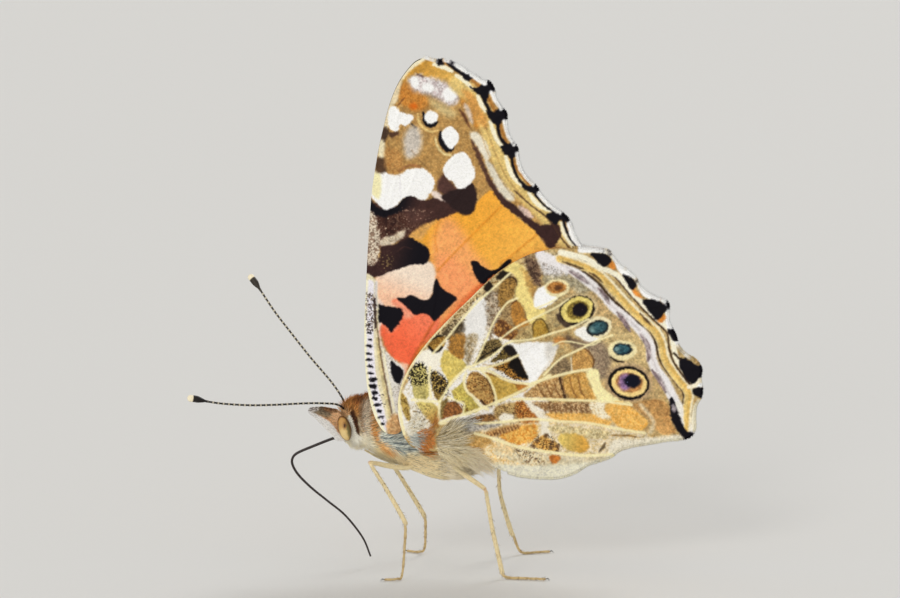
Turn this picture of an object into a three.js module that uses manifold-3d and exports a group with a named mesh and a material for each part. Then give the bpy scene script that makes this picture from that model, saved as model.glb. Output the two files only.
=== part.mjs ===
// A painted lady butterfly, life size, standing with its wings closed over its back.
// The head points along -X, up is +Z and the animal's left side faces -Y.
// The origin is on the floor, under the middle.
// Each part of the body is one closed mesh. The wings are plates with their main veins raised on both faces.

import * as THREE from "three";
import { mergeVertices } from "three/addons/utils/BufferGeometryUtils.js";
import Module from "manifold-3d";

// The side view is drawn in pixels of a photograph seen from eight degrees above the animal's left side.
// The length of a forewing sets the scale.
const FOREWING_LENGTH = 30;
const FOREWING_PIXELS = 372;
const PIXEL = FOREWING_LENGTH / FOREWING_PIXELS;
const MIDDLE_COLUMN = 445.5;
const FLOOR_ROW = 568;
const VIEW_RISE = THREE.MathUtils.degToRad(8);

// Thicknesses and gaps, in millimetres.
const GAP = 0.3;
const WING_THICKNESS = 0.5;
const RIDGE_OUTSIDE = 0.14;
const RIDGE_INSIDE = 0.06;
const RIDGE_HALF_WIDTH = 0.24;
const FEELER_RADIUS = 0.25;

// Where the wings lie, as distances from the middle plane.
const FOREWING_PLANE = GAP / 2 + RIDGE_INSIDE + WING_THICKNESS / 2;
const WING_STEP = WING_THICKNESS + RIDGE_OUTSIDE + RIDGE_INSIDE + GAP;
const WING_DEPTH = -1.1;

// The point seen at a pixel of the side view, at a given distance behind the middle plane.
function seen(column, row, y = 0) {
  const up = (FLOOR_ROW - row) * PIXEL;
  const z = (up - y * Math.sin(VIEW_RISE)) / Math.cos(VIEW_RISE);
  return new THREE.Vector3((column - MIDDLE_COLUMN) * PIXEL, y, z);
}

const blend = THREE.MathUtils.smoothstep;
const bell = (distance, width) => Math.exp(-((distance / width) ** 2));

// Outlines, as pixels of the side view. Each runs from the root up the leading edge and round to the root.
const FOREWING_OUTLINE = [
  [386, 430], [381, 424], [376.5, 416], [373, 406], [370, 395], [367.5, 382], [365.5, 366], [364.3, 348],
  [364, 330], [364.6, 310], [365.6, 290], [366.5, 270], [367.6, 250], [368.8, 230], [370.2, 210], [372, 190],
  [375, 170], [378.5, 150], [383, 130], [387.5, 112], [392.5, 97], [399, 83], [407, 71.5], [415.5, 62.5],
  [424, 58], [431, 58.5], [437.5, 60.5], [446, 59.5], [454, 63], [462, 66], [469, 71.5], [476, 75], [483, 80],
  [490, 82], [494.5, 89], [497, 98], [502, 107], [507, 113], [507.5, 122], [509, 132], [513.5, 141], [518, 148],
  [519.5, 158], [523, 169], [530, 179], [537, 186], [542, 193.5], [551, 203], [560, 210], [568, 217],
  [572.5, 224], [576, 234], [581, 243], [587, 251], [589, 260], [583, 267], [565, 280], [540, 299], [510, 325],
  [480, 352], [450, 380], [425, 404], [408, 421], [400, 431], [393, 433],
];
const HINDWING_OUTLINE = [
  [413, 446], [405, 437], [400.5, 425], [398, 412], [398, 398], [401, 384], [407, 370], [415, 357], [424, 345],
  [434, 333], [445, 321.5], [457, 309.5], [469, 298], [481, 286], [493, 275], [505, 266], [517, 259],
  [530, 253], [543, 249.5], [557, 247], [572, 246], [588, 246.5], [599, 248], [608, 250.5], [613, 254],
  [619, 262], [629, 269], [636, 276], [641, 284.5], [650, 292], [661, 297], [669, 302], [670, 310], [670, 319],
  [674, 329], [677.5, 336], [680, 345], [688, 353.5], [697, 359], [703, 368], [702, 377], [704, 388],
  [702.5, 397], [698, 405], [697, 417], [697, 428], [693, 436], [683, 439.5], [668, 440], [650, 441.5],
  [632, 443.5], [619, 448], [611, 456], [600, 460], [588, 465], [577, 472.5], [562, 478], [545, 479],
  [525, 477.5], [505, 471.5], [485, 463.5], [465, 456], [445, 451.5], [428, 449.5],
];

// The main veins, as pixels of the side view. Each runs outwards.
const FOREWING_VEINS = {
  subcosta: [[387, 420], [380, 385], [375, 340], [373.5, 290], [374, 240], [376, 200]],
  radius: [[391, 424], [386, 395], [381.5, 360], [379.5, 320], [379.5, 280], [381.5, 238]],
  radius_3: [[381.5, 238], [385, 190], [392, 140], [405, 95], [421, 66]],
  radius_5: [[385, 232], [393, 190], [406, 145], [430, 100], [462, 72]],
  media_1: [[396, 236], [405, 200], [424, 155], [453, 112], [486, 88]],
  media_2: [[416, 240], [427, 207], [446, 170], [474, 134], [500, 115]],
  media_3: [[436, 271], [432.5, 250], [437, 225], [449, 204], [472, 178], [495, 160], [512, 149]],
  cubitus: [[396, 427], [402, 400], [411, 370], [421, 345], [429, 325], [434, 300], [436, 271]],
  cubitus_1: [[436, 271], [455, 251], [475, 231], [500, 206], [520, 192], [532, 186]],
  cubitus_2: [[429, 325], [450, 306], [475, 286], [497, 267], [515, 251], [537, 233], [562, 219]],
  cell_end: [[381.5, 238], [396, 236], [416, 240], [436, 271]],
  anal: [[400, 426], [440, 382], [480, 340], [530, 297], [581, 258]],
};
const HINDWING_VEINS = {
  subcosta: [[439, 421], [437, 400], [431, 386], [430, 370], [437, 354], [455, 330], [480, 303], [510, 279],
    [550, 260], [604, 254]],
  cell_top: [[437, 400], [448, 387], [459, 376], [470, 366]],
  radial: [[470, 366], [480, 345], [490, 325], [501, 311], [515, 299], [540, 284], [575, 271], [609, 262]],
  media_1: [[478, 363], [494, 349], [512, 335], [535, 318], [560, 300], [595, 286], [630, 279]],
  media_2: [[482, 365], [497, 362], [513, 356], [530, 345], [547, 337], [562, 331], [582, 323], [605, 314],
    [635, 308], [663, 304]],
  media_3: [[533, 381], [545, 366], [554, 356], [567, 349], [583, 343], [600, 339], [640, 334], [671, 335]],
  cell_base: [[439, 421], [455, 418], [471, 413], [487, 408], [500, 402], [513, 395], [523, 387], [533, 381]],
  cell_end: [[482, 367], [496, 370], [505, 374], [514, 378], [533, 381]],
  cubitus_1: [[533, 381], [545, 377], [560, 374], [576, 371], [600, 367], [650, 362], [697, 367]],
  cubitus_2: [[513, 395], [525, 398], [560, 398], [600, 399], [650, 399], [697, 390]],
  anal_2: [[446, 430], [470, 427], [490, 424], [512, 421.5], [545, 421], [580, 424], [615, 431], [650, 432],
    [687, 434]],
  anal_3: [[462, 432], [485, 433], [510, 443], [540, 451], [575, 455], [602, 456]],
};

// The sections of the body: column and row of the centre, half height and half width in millimetres.
const THORAX_SECTIONS = [
  [364, 420, 2.4, 1.5], [367, 419.5, 2.6, 1.7], [374, 419.3, 2.83, 1.95], [386, 421.5, 3.03, 2.2],
  [400, 427, 3.35, 2.35], [416, 432.5, 3.5, 2.4], [432, 438, 3.5, 2.35], [447, 442, 3.3, 2.2],
  [458, 445, 2.85, 2.0], [466, 446.5, 2.3, 1.75],
];
const ABDOMEN_SECTIONS = [
  [470, 446.5, 2.1, 1.65], [486, 446, 2.1, 1.75], [505, 446, 2.0, 1.75], [530, 447.5, 1.85, 1.65],
  [555, 449, 1.65, 1.5], [575, 450.5, 1.35, 1.3], [592, 452, 0.95, 0.95], [603, 453, 0.5, 0.5],
];
const HEAD_SIDE = 0.85;
const HEAD_SECTIONS = [
  [360, 421, 2.3, 1.15], [357.8, 421.2, 2.27, 1.05], [355.5, 421.7, 2.2, HEAD_SIDE],
  [351, 422.5, 2.05, HEAD_SIDE], [346, 424, 1.7, HEAD_SIDE], [341, 425, 1.3, 0.8],
];
const PALP_SECTIONS = [
  [337.3, 422.5, 1.25, 0.33], [331, 419, 1.12, 0.33], [325, 415.5, 0.9, 0.3], [317, 411.3, 0.55, 0.26],
  [308, 408.5, 0.16, 0.14],
];
const PALP_DEPTH = 0.5;
const GROOVE = 0.09;
const SEGMENT_RINGS = 4;

// The eyes are domes on the flat sides of the head.
const EYE = { column: 347, row: 427.5, long: 0.82, high: 1.08, deep: 0.55 };

// How far from the middle plane each wing lies, as a function of the place on it.
const HALF_PLATE = WING_THICKNESS / 2 + RIDGE_INSIDE;
const THORAX_SIDE = THORAX_SECTIONS[5][3] + GAP + HALF_PLATE;
const ABDOMEN_SIDE = ABDOMEN_SECTIONS[1][3] + GAP + HALF_PLATE;
const WING_ROOT_ROW = 428;
const WING_CLOSING_HEIGHT = 4.6;
const ABDOMEN_CLOSING_HEIGHT = 2.6;
const TUCK = 0.35;

// The hindwing lies outside the forewing down to this line, then comes in over a short way.
// Its tail closes again.
const COVER_LINE = { column: 400, row: 437, slope: -0.9, fade: 38 };
const OPEN_SHARE = 0.12;
const THORAX_FADE = [455, 540];
const ABDOMEN_FADE = [590, 668];
const ABDOMEN_TOP_ROW = 447;
const TUCK_ROW = 450;

function forewingPlane(column, row) {
  const above = Math.max(0, WING_ROOT_ROW - row) * PIXEL;
  return FOREWING_PLANE + (THORAX_SIDE - FOREWING_PLANE) * bell(above, WING_CLOSING_HEIGHT);
}

function hindwingPlane(column, row) {
  const coveredRow = COVER_LINE.row + (column - COVER_LINE.column) * COVER_LINE.slope;
  const covering = 1 - blend(row, coveredRow, coveredRow + COVER_LINE.fade);
  const flat = FOREWING_PLANE + WING_STEP * Math.max(covering, OPEN_SHARE);
  const aboveRoot = Math.max(0, WING_ROOT_ROW - row) * PIXEL;
  const aboveAbdomen = Math.max(0, ABDOMEN_TOP_ROW - row) * PIXEL;
  const below = Math.max(0, row - TUCK_ROW) * PIXEL;
  const nearThorax = bell(aboveRoot, WING_CLOSING_HEIGHT) * (1 - blend(column, ...THORAX_FADE));
  const nearAbdomen = bell(aboveAbdomen, ABDOMEN_CLOSING_HEIGHT) * (1 - blend(column, ...ABDOMEN_FADE));
  const tucked = ABDOMEN_SIDE * (1 - TUCK * (below / ABDOMEN_CLOSING_HEIGHT) ** 2);
  const besideThorax = flat + (THORAX_SIDE + WING_STEP * covering - flat) * nearThorax;
  const besideAbdomen = flat + (tucked - flat) * nearAbdomen;
  return Math.max(besideThorax, besideAbdomen);
}

function flatCurve(points, isLoop) {
  const places = points.map(([x, y]) => new THREE.Vector3(x, y, 0));
  return new THREE.CatmullRomCurve3(places, isLoop, "centripetal");
}

// A closed loop through the points, with one more point between each two.
function smoothLoop(points) {
  const curve = flatCurve(points, true);
  return Array.from({ length: points.length * 2 }, (_, i) => {
    const p = curve.getPoint(i / (points.length * 2));
    return { x: p.x, y: p.y, ridge: 0 };
  });
}

function inside(loop, x, y) {
  let within = false;
  loop.forEach((a, i) => {
    const b = loop[(i + 1) % loop.length];
    if (a.y > y !== b.y > y && x < a.x + ((y - a.y) / (b.y - a.y)) * (b.x - a.x)) within = !within;
  });
  return within;
}

// Delaunay triangles of a set of points, by adding one point after another.
function delaunay(points) {
  const far = 1e4;
  const all = [...points, { x: -far, y: -far }, { x: far, y: -far }, { x: 0, y: far }];
  const circle = (a, b, c) => {
    const [p, q, r] = [all[a], all[b], all[c]];
    const d = 2 * (p.x * (q.y - r.y) + q.x * (r.y - p.y) + r.x * (p.y - q.y));
    const [pp, qq, rr] = [p, q, r].map((v) => v.x * v.x + v.y * v.y);
    const x = (pp * (q.y - r.y) + qq * (r.y - p.y) + rr * (p.y - q.y)) / d;
    const y = (pp * (r.x - q.x) + qq * (p.x - r.x) + rr * (q.x - p.x)) / d;
    return { corners: d > 0 ? [a, b, c] : [a, c, b], x, y, reach: (p.x - x) ** 2 + (p.y - y) ** 2 };
  };
  const n = points.length;
  let triangles = [circle(n, n + 1, n + 2)];
  points.forEach((p, i) => {
    const edges = new Map();
    triangles = triangles.filter((t) => {
      if ((p.x - t.x) ** 2 + (p.y - t.y) ** 2 > t.reach) return true;
      t.corners.forEach((a, k) => {
        const b = t.corners[(k + 1) % 3];
        const twin = `${b},${a}`;
        if (edges.has(twin)) edges.delete(twin);
        else edges.set(`${a},${b}`, [a, b]);
      });
      return false;
    });
    edges.forEach(([a, b]) => triangles.push(circle(a, b, i)));
  });
  return triangles.map((t) => t.corners).filter((t) => t.every((c) => c < n));
}

// Steps between the points of a vein and of the open membrane, and the least room round a point, in pixels.
// The room at the foot of a ridge is a share of the ridge's half width.
const STATION_STEP = 16;
const FILL_STEP = 26;
const STATION_ROOM = 4;
const FOOT_ROOM = 0.85;
const WING_FIELD = new THREE.Box2(new THREE.Vector2(360, 60), new THREE.Vector2(710, 480));

// The points of a wing: its rim, a raised line with a foot on each side for every vein, and a few between.
function wingPoints(outline, veins) {
  const rim = smoothLoop(outline);
  const points = [...rim];
  const near = (x, y, reach) => points.some((p) => (p.x - x) ** 2 + (p.y - y) ** 2 < reach * reach);
  const add = (x, y, reach, ridge) => {
    if (inside(rim, x, y) && !near(x, y, reach)) points.push({ x, y, ridge });
  };
  const lines = Object.values(veins).map((v) => {
    const curve = flatCurve(v, false);
    const count = Math.round(curve.getLength() / STATION_STEP);
    return { places: curve.getSpacedPoints(count), count, curve };
  });
  lines.forEach(({ places }) => places.forEach((p) => add(p.x, p.y, STATION_ROOM, 1)));
  const foot = RIDGE_HALF_WIDTH / PIXEL;
  lines.forEach(({ places, count, curve }) =>
    places.forEach((p, i) => {
      const along = curve.getTangentAt(i / count);
      [-foot, foot].forEach((s) => add(p.x - along.y * s, p.y + along.x * s, foot * FOOT_ROOM, 0));
    }),
  );
  const rowStep = FILL_STEP * Math.sin(Math.PI / 3);
  for (let y = WING_FIELD.min.y, row = 0; y < WING_FIELD.max.y; y += rowStep, row += 1)
    for (let x = WING_FIELD.min.x + (row % 2) * (FILL_STEP / 2); x < WING_FIELD.max.x; x += FILL_STEP)
      add(x, y, FILL_STEP / 2, 0);
  return { points, rim };
}

// A wing as a plate: the same triangles on both faces, and a wall round its rim.
function wing(outline, veins, plane, side) {
  const { points, rim } = wingPoints(outline, veins);
  const triangles = delaunay(points).filter((t) => {
    const [x, y] = ["x", "y"].map((k) => (points[t[0]][k] + points[t[1]][k] + points[t[2]][k]) / 3);
    return inside(rim, x, y);
  });
  const count = points.length;
  const position = [];
  [1, -1].forEach((face) =>
    points.forEach((p) => {
      const ridge = p.ridge * (face > 0 ? RIDGE_OUTSIDE : RIDGE_INSIDE);
      const { x, z } = seen(p.x, p.y, WING_DEPTH);
      const y = plane(p.x, p.y) + face * (WING_THICKNESS / 2 + ridge);
      position.push(x, side * y, z);
    }),
  );
  const index = [];
  const used = new Set(triangles.flatMap(([a, b, c]) => [`${a},${b}`, `${b},${c}`, `${c},${a}`]));
  triangles.forEach(([a, b, c]) => {
    index.push(a, b, c, a + count, c + count, b + count);
    [[a, b], [b, c], [c, a]].forEach(([p, q]) => {
      if (!used.has(`${q},${p}`)) index.push(p, p + count, q + count, p, q + count, q);
    });
  });
  if (side < 0) index.reverse();
  return closed(position, index);
}

function closed(position, index) {
  const geometry = new THREE.BufferGeometry();
  geometry.setAttribute("position", new THREE.Float32BufferAttribute(position, 3));
  geometry.setIndex(index);
  geometry.computeVertexNormals();
  return geometry;
}

// A closed body round a line of rings. Each ring has a centre, a half height, a half width
// and maybe a direction.
function loft(rings, sides, shape = (p) => p) {
  const position = [];
  const index = [];
  let across = new THREE.Vector3(0, 1, 0);
  rings.forEach(({ at, high, wide, facing }, i) => {
    const before = rings[Math.max(0, i - 1)].at;
    const after = rings[Math.min(rings.length - 1, i + 1)].at;
    const along = facing ?? after.clone().sub(before).normalize();
    across = across.clone().addScaledVector(along, -across.dot(along)).normalize();
    const up = along.clone().cross(across);
    for (let k = 0; k < sides; k += 1) {
      const turn = ((k + 0.5) / sides) * Math.PI * 2;
      const corner = at.clone().addScaledVector(across, wide * Math.cos(turn));
      corner.addScaledVector(up, high * Math.sin(turn));
      position.push(...shape(corner).toArray());
    }
  });
  for (let i = 0; i + 1 < rings.length; i += 1)
    for (let k = 0; k < sides; k += 1) {
      const [a, b] = [i * sides + k, i * sides + ((k + 1) % sides)];
      index.push(a, b, b + sides, a, b + sides, a + sides);
    }
  [0, rings.length - 1].forEach((i) => {
    const hub = position.length / 3;
    position.push(...shape(rings[i].at.clone()).toArray());
    for (let k = 0; k < sides; k += 1) {
      const [a, b] = [i * sides + k, i * sides + ((k + 1) % sides)];
      index.push(hub, ...(i ? [a, b] : [b, a]));
    }
  });
  return closed(position, index);
}

// The rings of a body part, with more of them between its named sections.
function bodyRings(sections, perSpan, { depth = 0, grow = 0, groove = 0 } = {}) {
  const last = (sections.length - 1) * perSpan;
  const curve = new THREE.CatmullRomCurve3(sections.map(([c, r]) => seen(c, r)), false, "centripetal");
  const sizes = new THREE.CatmullRomCurve3(sections.map((s) => new THREE.Vector3(s[2], s[3], 0)));
  const facing = new THREE.Vector3(Math.sign(sections[1][0] - sections[0][0]), 0, 0);
  return Array.from({ length: last + 1 }, (_, i) => {
    const at = curve.getPoint(i / last).setY(depth);
    if (i === 0) at.addScaledVector(facing, -grow);
    if (i === last) at.addScaledVector(facing, grow);
    const size = sizes.getPoint(i / last);
    const less = i % perSpan === 0 && i > 0 ? groove : 0;
    return { at, high: size.x + grow - less, wide: size.y + grow - less, facing };
  });
}

// A feeler or tongue: rings along one smooth curve. A place is a point and a radius.
function feelerRings(places, count) {
  const curve = new THREE.CatmullRomCurve3(places.map(([p]) => p), false, "centripetal");
  const last = places.length - 1;
  return Array.from({ length: count + 1 }, (_, i) => {
    const t = curve.getUtoTmapping(i / count);
    const k = Math.min(last - 1, Math.floor(t * last));
    const radius = THREE.MathUtils.lerp(places[k][1], places[k + 1][1], t * last - k);
    return { at: curve.getPoint(t), high: radius, wide: radius };
  });
}

// A jointed leg: straight spans between its places, with each ring facing along the leg.
const SPAN_RINGS = 3;
function legRings(places) {
  const rings = [];
  places.forEach(([p, radius], i) => {
    const [before, after] = [places[Math.max(0, i - 1)][0], places[Math.min(places.length - 1, i + 1)][0]];
    const into = p.clone().sub(before).normalize();
    const outOf = after.clone().sub(p).normalize();
    rings.push({ at: p.clone(), high: radius, wide: radius, facing: into.add(outOf).normalize() });
    for (let k = 1; k < SPAN_RINGS && i + 1 < places.length; k += 1) {
      const share = k / SPAN_RINGS;
      const between = THREE.MathUtils.lerp(radius, places[i + 1][1], share);
      rings.push({ at: p.clone().lerp(after, share), high: between, wide: between, facing: outOf });
    }
  });
  return rings;
}

// A length of a limb between two of its rings, parted from the next one by half a gap at each inner end.
function lengthOf(rings, first, last) {
  const piece = rings.slice(first, last + 1).map((r) => ({ ...r, at: r.at.clone() }));
  const end = piece.length - 1;
  if (first > 0) piece[0].at.addScaledVector(piece[0].facing, GAP / 2);
  if (last < rings.length - 1) piece[end].at.addScaledVector(piece[end].facing, -GAP / 2);
  return piece;
}

const aboveFloor = (p) => p.setZ(Math.max(0, p.z));

const wasm = await Module();
wasm.setup();

function solid(geometry) {
  const bare = mergeVertices(new THREE.BufferGeometry()
    .setAttribute("position", geometry.getAttribute("position")).setIndex(geometry.getIndex()), 1e-4);
  const vertProperties = new Float32Array(bare.getAttribute("position").array);
  const triVerts = new Uint32Array(bare.getIndex().array);
  return new wasm.Manifold(new wasm.Mesh({ numProp: 3, vertProperties, triVerts }));
}

// What is left of a piece outside a room, as its largest closed surface.
function outside(geometry, room) {
  const bodies = solid(geometry).subtract(room).decompose().sort((a, b) => b.volume() - a.volume());
  const mesh = bodies[0].getMesh();
  return closed(Array.from(mesh.vertProperties), Array.from(mesh.triVerts));
}

// Roots of limbs and feelers are cut by these, so that they end a gap away from what they grow from.
const BODY_SIDES = 18;
const BODY_STEPS = 3;
const thoraxRoom = solid(loft(bodyRings(THORAX_SECTIONS, BODY_STEPS, { grow: GAP }), BODY_SIDES));
const headRoom = solid(loft(bodyRings(HEAD_SECTIONS, BODY_STEPS, { grow: GAP }), BODY_SIDES));

// A place on or just above the floor.
const low = (column, y, z) => new THREE.Vector3((column - MIDDLE_COLUMN) * PIXEL, y, z);
const FOOT_RISE = 0.17;
const HEEL_RISE = 0.65;
const THIGH = 0.32;
const SHIN = 0.25;

// Legs from the body outwards, as places with radii. The shin starts at the third place
// and the foot at the fifth.
const LEGS = {
  mid_leg_left: [
    [seen(420, 464, -1.2), THIGH], [seen(398, 466, -2.6), THIGH], [seen(371.5, 461, -3.6), SHIN],
    [seen(385, 485, -4.3), SHIN], [seen(403.5, 516, -5.2), SHIN], [seen(406, 534, -5.35), SHIN],
    [low(402.5, -5.5, HEEL_RISE), SHIN], [low(398, -5.7, FOOT_RISE), SHIN], [low(385, -6, FOOT_RISE), SHIN],
  ],
  mid_leg_right: [
    [seen(424, 462, 1.2), THIGH], [seen(406, 462, 2.6), THIGH], [seen(386, 455, 3.6), SHIN],
    [seen(402, 482, 4.3), SHIN], [seen(421, 514, 5.2), SHIN], [seen(425, 530, 5.35), SHIN],
    [low(424, 5.5, HEEL_RISE), SHIN], [low(419, 5.8, FOOT_RISE), SHIN], [low(406, 6.2, FOOT_RISE), SHIN],
  ],
  hind_leg_left: [
    [seen(450, 464, -1.1), THIGH], [seen(468, 476, -2.2), THIGH], [seen(485.5, 488, -2.9), SHIN],
    [seen(493, 527, -4), SHIN], [seen(501, 567, -5), SHIN], [low(507, -5.2, FOOT_RISE), SHIN],
    [low(520, -5.4, FOOT_RISE), SHIN], [low(533, -5.6, FOOT_RISE), SHIN], [low(545, -5.8, FOOT_RISE), SHIN],
  ],
  hind_leg_right: [
    [seen(452, 462, 1.1), THIGH], [seen(474, 461, 2.5), THIGH], [seen(498.5, 466, 3.1), SHIN],
    [seen(501.5, 498, 3.9), SHIN], [seen(512, 534, 4.8), SHIN], [low(519, 5.1, HEEL_RISE), SHIN],
    [low(525, 5.3, FOOT_RISE), SHIN], [low(539, 5.6, FOOT_RISE), SHIN], [low(552, 5.9, FOOT_RISE), SHIN],
  ],
};
const KNEE = 2 * SPAN_RINGS;
const ANKLE = 4 * SPAN_RINGS;
const LEG_SIDES = 8;
const PALP_SIDES = 12;

// The short brush legs, folded under the front of the thorax, for one side or the other.
const BRUSH_DEPTH = 0.8;
const foreLeg = (side) => [
  [seen(398, 461), 0.25], [seen(387, 465), 0.27], [seen(375, 459.5), 0.28], [seen(366, 456.5), 0.26],
  [seen(360, 455), 0.12],
].map(([p, radius]) => [p.setY(side * BRUSH_DEPTH), radius]);

// The feelers run from the head outwards and end in a club.
const CLUB = 0.37;
const ANTENNAE = {
  left: [
    [seen(347, 411, -0.55), FEELER_RADIUS], [seen(340, 404.5, -1.05), FEELER_RADIUS],
    [seen(330, 402.5, -1.5), FEELER_RADIUS], [seen(316, 402, -1.8), FEELER_RADIUS],
    [seen(300, 402, -2.1), FEELER_RADIUS], [seen(275, 403.5, -2.4), FEELER_RADIUS],
    [seen(250, 404, -2.7), FEELER_RADIUS], [seen(225, 402.5, -3), FEELER_RADIUS],
    [seen(210, 400.5, -3.2), 0.3], [seen(198, 398, -3.35), CLUB], [seen(190, 396.5, -3.5), 0.3],
    [seen(187, 396, -3.55), 0.12],
  ],
  right: [
    [seen(347, 409, 0.4), FEELER_RADIUS], [seen(341, 396, 0.6), FEELER_RADIUS],
    [seen(330, 380.5, 1.3), FEELER_RADIUS], [seen(309, 356.5, 2.7), FEELER_RADIUS],
    [seen(290, 333, 3.9), FEELER_RADIUS], [seen(273, 311.5, 5), FEELER_RADIUS],
    [seen(259, 291, 5.8), 0.28], [seen(252, 281, 6.2), CLUB], [seen(246.5, 274, 6.5), 0.3],
    [seen(244.5, 271.5, 6.6), 0.12],
  ],
};
const FEELER_STEPS = 26;
const BRUSH_STEPS = 10;

// The tongue hangs from under the head, bends back at its elbow and ends just over the floor.
const TONGUE = [
  [seen(347, 438), 0.26], [seen(339, 442.5), 0.26], [seen(331, 442), 0.25], [seen(312, 447), 0.25],
  [seen(297, 452.5), 0.25], [seen(291.5, 458), 0.25], [seen(292, 465), 0.25], [seen(298, 475), 0.25],
  [seen(311, 488), 0.25], [seen(327, 501), 0.25], [seen(345, 516), 0.25], [seen(362, 538), 0.25],
  [seen(370, 558), 0.2],
];
const TONGUE_STEPS = 30;
const TONGUE_ELBOW = 11;

const EYE_STEPS = 6;
const EYE_SIDES = 20;

function eye(side) {
  const arc = Array.from({ length: EYE_STEPS + 1 }, (_, i) => {
    const turn = (i / EYE_STEPS) * (Math.PI / 2);
    return new THREE.Vector2(i === EYE_STEPS ? 0 : Math.cos(turn), Math.sin(turn));
  });
  const dome = new THREE.LatheGeometry([new THREE.Vector2(0, 0), ...arc], EYE_SIDES);
  dome.scale(EYE.long, EYE.deep, EYE.high);
  if (side < 0) dome.rotateZ(Math.PI);
  const place = seen(EYE.column, EYE.row);
  return dome.translate(place.x, side * (HEAD_SIDE + GAP), place.z);
}

const butterfly = new THREE.Group();
function add(name, geometry, color, roughness) {
  const mesh = new THREE.Mesh(geometry, new THREE.MeshStandardMaterial({ color, roughness, metalness: 0 }));
  mesh.name = name;
  butterfly.add(mesh);
}

add("head", loft(bodyRings(HEAD_SECTIONS, BODY_STEPS), BODY_SIDES), 0x9a6a35, 0.9);
add("thorax", loft(bodyRings(THORAX_SECTIONS, BODY_STEPS), BODY_SIDES), 0xb9a98a, 0.95);
const segments = bodyRings(ABDOMEN_SECTIONS, SEGMENT_RINGS, { groove: GROOVE });
add("abdomen", loft(segments, BODY_SIDES), 0xb08a58, 0.9);

const tongue = feelerRings(TONGUE, TONGUE_STEPS);
const elbow = tongue[TONGUE_ELBOW + 1].at.clone().sub(tongue[TONGUE_ELBOW - 1].at).normalize();
tongue[TONGUE_ELBOW].facing = elbow;
add("proboscis_base", outside(loft(lengthOf(tongue, 0, TONGUE_ELBOW), LEG_SIDES), headRoom), 0x2b211c, 0.4);
add("proboscis_tip", loft(lengthOf(tongue, TONGUE_ELBOW, TONGUE_STEPS), LEG_SIDES), 0x2b211c, 0.4);

[["left", -1], ["right", 1]].forEach(([name, side]) => {
  add(`eye_${name}`, eye(side), 0xb07a2e, 0.25);
  const palp = loft(bodyRings(PALP_SECTIONS, BODY_STEPS, { depth: side * PALP_DEPTH }), PALP_SIDES);
  add(`palp_${name}`, palp, 0x9c6b3a, 0.9);
  const antenna = loft(feelerRings(ANTENNAE[name], FEELER_STEPS), LEG_SIDES);
  add(`antenna_${name}`, outside(antenna, headRoom), 0x2a2622, 0.5);
  const brush = loft(feelerRings(foreLeg(side), BRUSH_STEPS), LEG_SIDES);
  add(`fore_leg_${name}`, outside(brush, thoraxRoom), 0xcdbb98, 0.9);
  ["mid", "hind"].forEach((pair) => {
    const rings = legRings(LEGS[`${pair}_leg_${name}`]);
    const thigh = outside(loft(lengthOf(rings, 0, KNEE), LEG_SIDES), thoraxRoom);
    add(`${pair}_femur_${name}`, thigh, 0xe2cd9c, 0.6);
    add(`${pair}_tibia_${name}`, loft(lengthOf(rings, KNEE, ANKLE), LEG_SIDES), 0xe2cd9c, 0.6);
    const foot = loft(lengthOf(rings, ANKLE, rings.length - 1), LEG_SIDES, aboveFloor);
    add(`${pair}_tarsus_${name}`, foot, 0xd8bf8a, 0.6);
  });
  add(`forewing_${name}`, wing(FOREWING_OUTLINE, FOREWING_VEINS, forewingPlane, side), 0xd98a4a, 0.8);
  add(`hindwing_${name}`, wing(HINDWING_OUTLINE, HINDWING_VEINS, hindwingPlane, side), 0xcdb98a, 0.8);
});

export default butterfly;
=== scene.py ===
"""A painted lady butterfly at rest with closed wings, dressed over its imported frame.

The side view is measured in pixels of the photograph, as in the solids. seen() turns them into millimetres.
"""

import math

import bpy
import numpy as np
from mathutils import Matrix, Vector
from mathutils.geometry import delaunay_2d_cdt


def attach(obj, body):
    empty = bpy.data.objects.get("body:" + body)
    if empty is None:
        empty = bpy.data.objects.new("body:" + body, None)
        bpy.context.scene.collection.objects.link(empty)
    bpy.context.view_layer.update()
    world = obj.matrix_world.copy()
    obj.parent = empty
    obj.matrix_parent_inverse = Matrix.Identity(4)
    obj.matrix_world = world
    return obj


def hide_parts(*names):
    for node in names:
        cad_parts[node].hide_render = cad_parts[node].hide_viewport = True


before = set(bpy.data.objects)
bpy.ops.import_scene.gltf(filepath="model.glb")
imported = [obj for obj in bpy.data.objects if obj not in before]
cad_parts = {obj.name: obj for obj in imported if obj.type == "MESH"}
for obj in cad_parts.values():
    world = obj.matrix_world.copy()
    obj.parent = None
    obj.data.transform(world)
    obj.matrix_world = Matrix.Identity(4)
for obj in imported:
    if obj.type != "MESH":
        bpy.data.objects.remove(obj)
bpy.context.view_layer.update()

MM = 0.001
PIXEL = 30 / 372
MIDDLE_COLUMN = 445.5
FLOOR_ROW = 568
VIEW_RISE = math.radians(8)
FULL_TURN = 2 * math.pi
SIDES = {"left": -1, "right": 1}
TINY = 1e-9


def seen(column, row, y=0.0):
    """The place in millimetres that shows at a pixel of the side view, at a depth behind the middle."""
    up = (FLOOR_ROW - row) * PIXEL
    z = (up - y * math.sin(VIEW_RISE)) / math.cos(VIEW_RISE)
    return np.stack(np.broadcast_arrays((column - MIDDLE_COLUMN) * PIXEL, y, z), axis=-1)


def side_view(places):
    """Column and row where a place shows in the side view, taken on the left side."""
    x, y, z = places[..., 0], -np.abs(places[..., 1]), places[..., 2]
    up = z * math.cos(VIEW_RISE) + y * math.sin(VIEW_RISE)
    return x / PIXEL + MIDDLE_COLUMN, FLOOR_ROW - up / PIXEL


# Camera, light and floor

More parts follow.
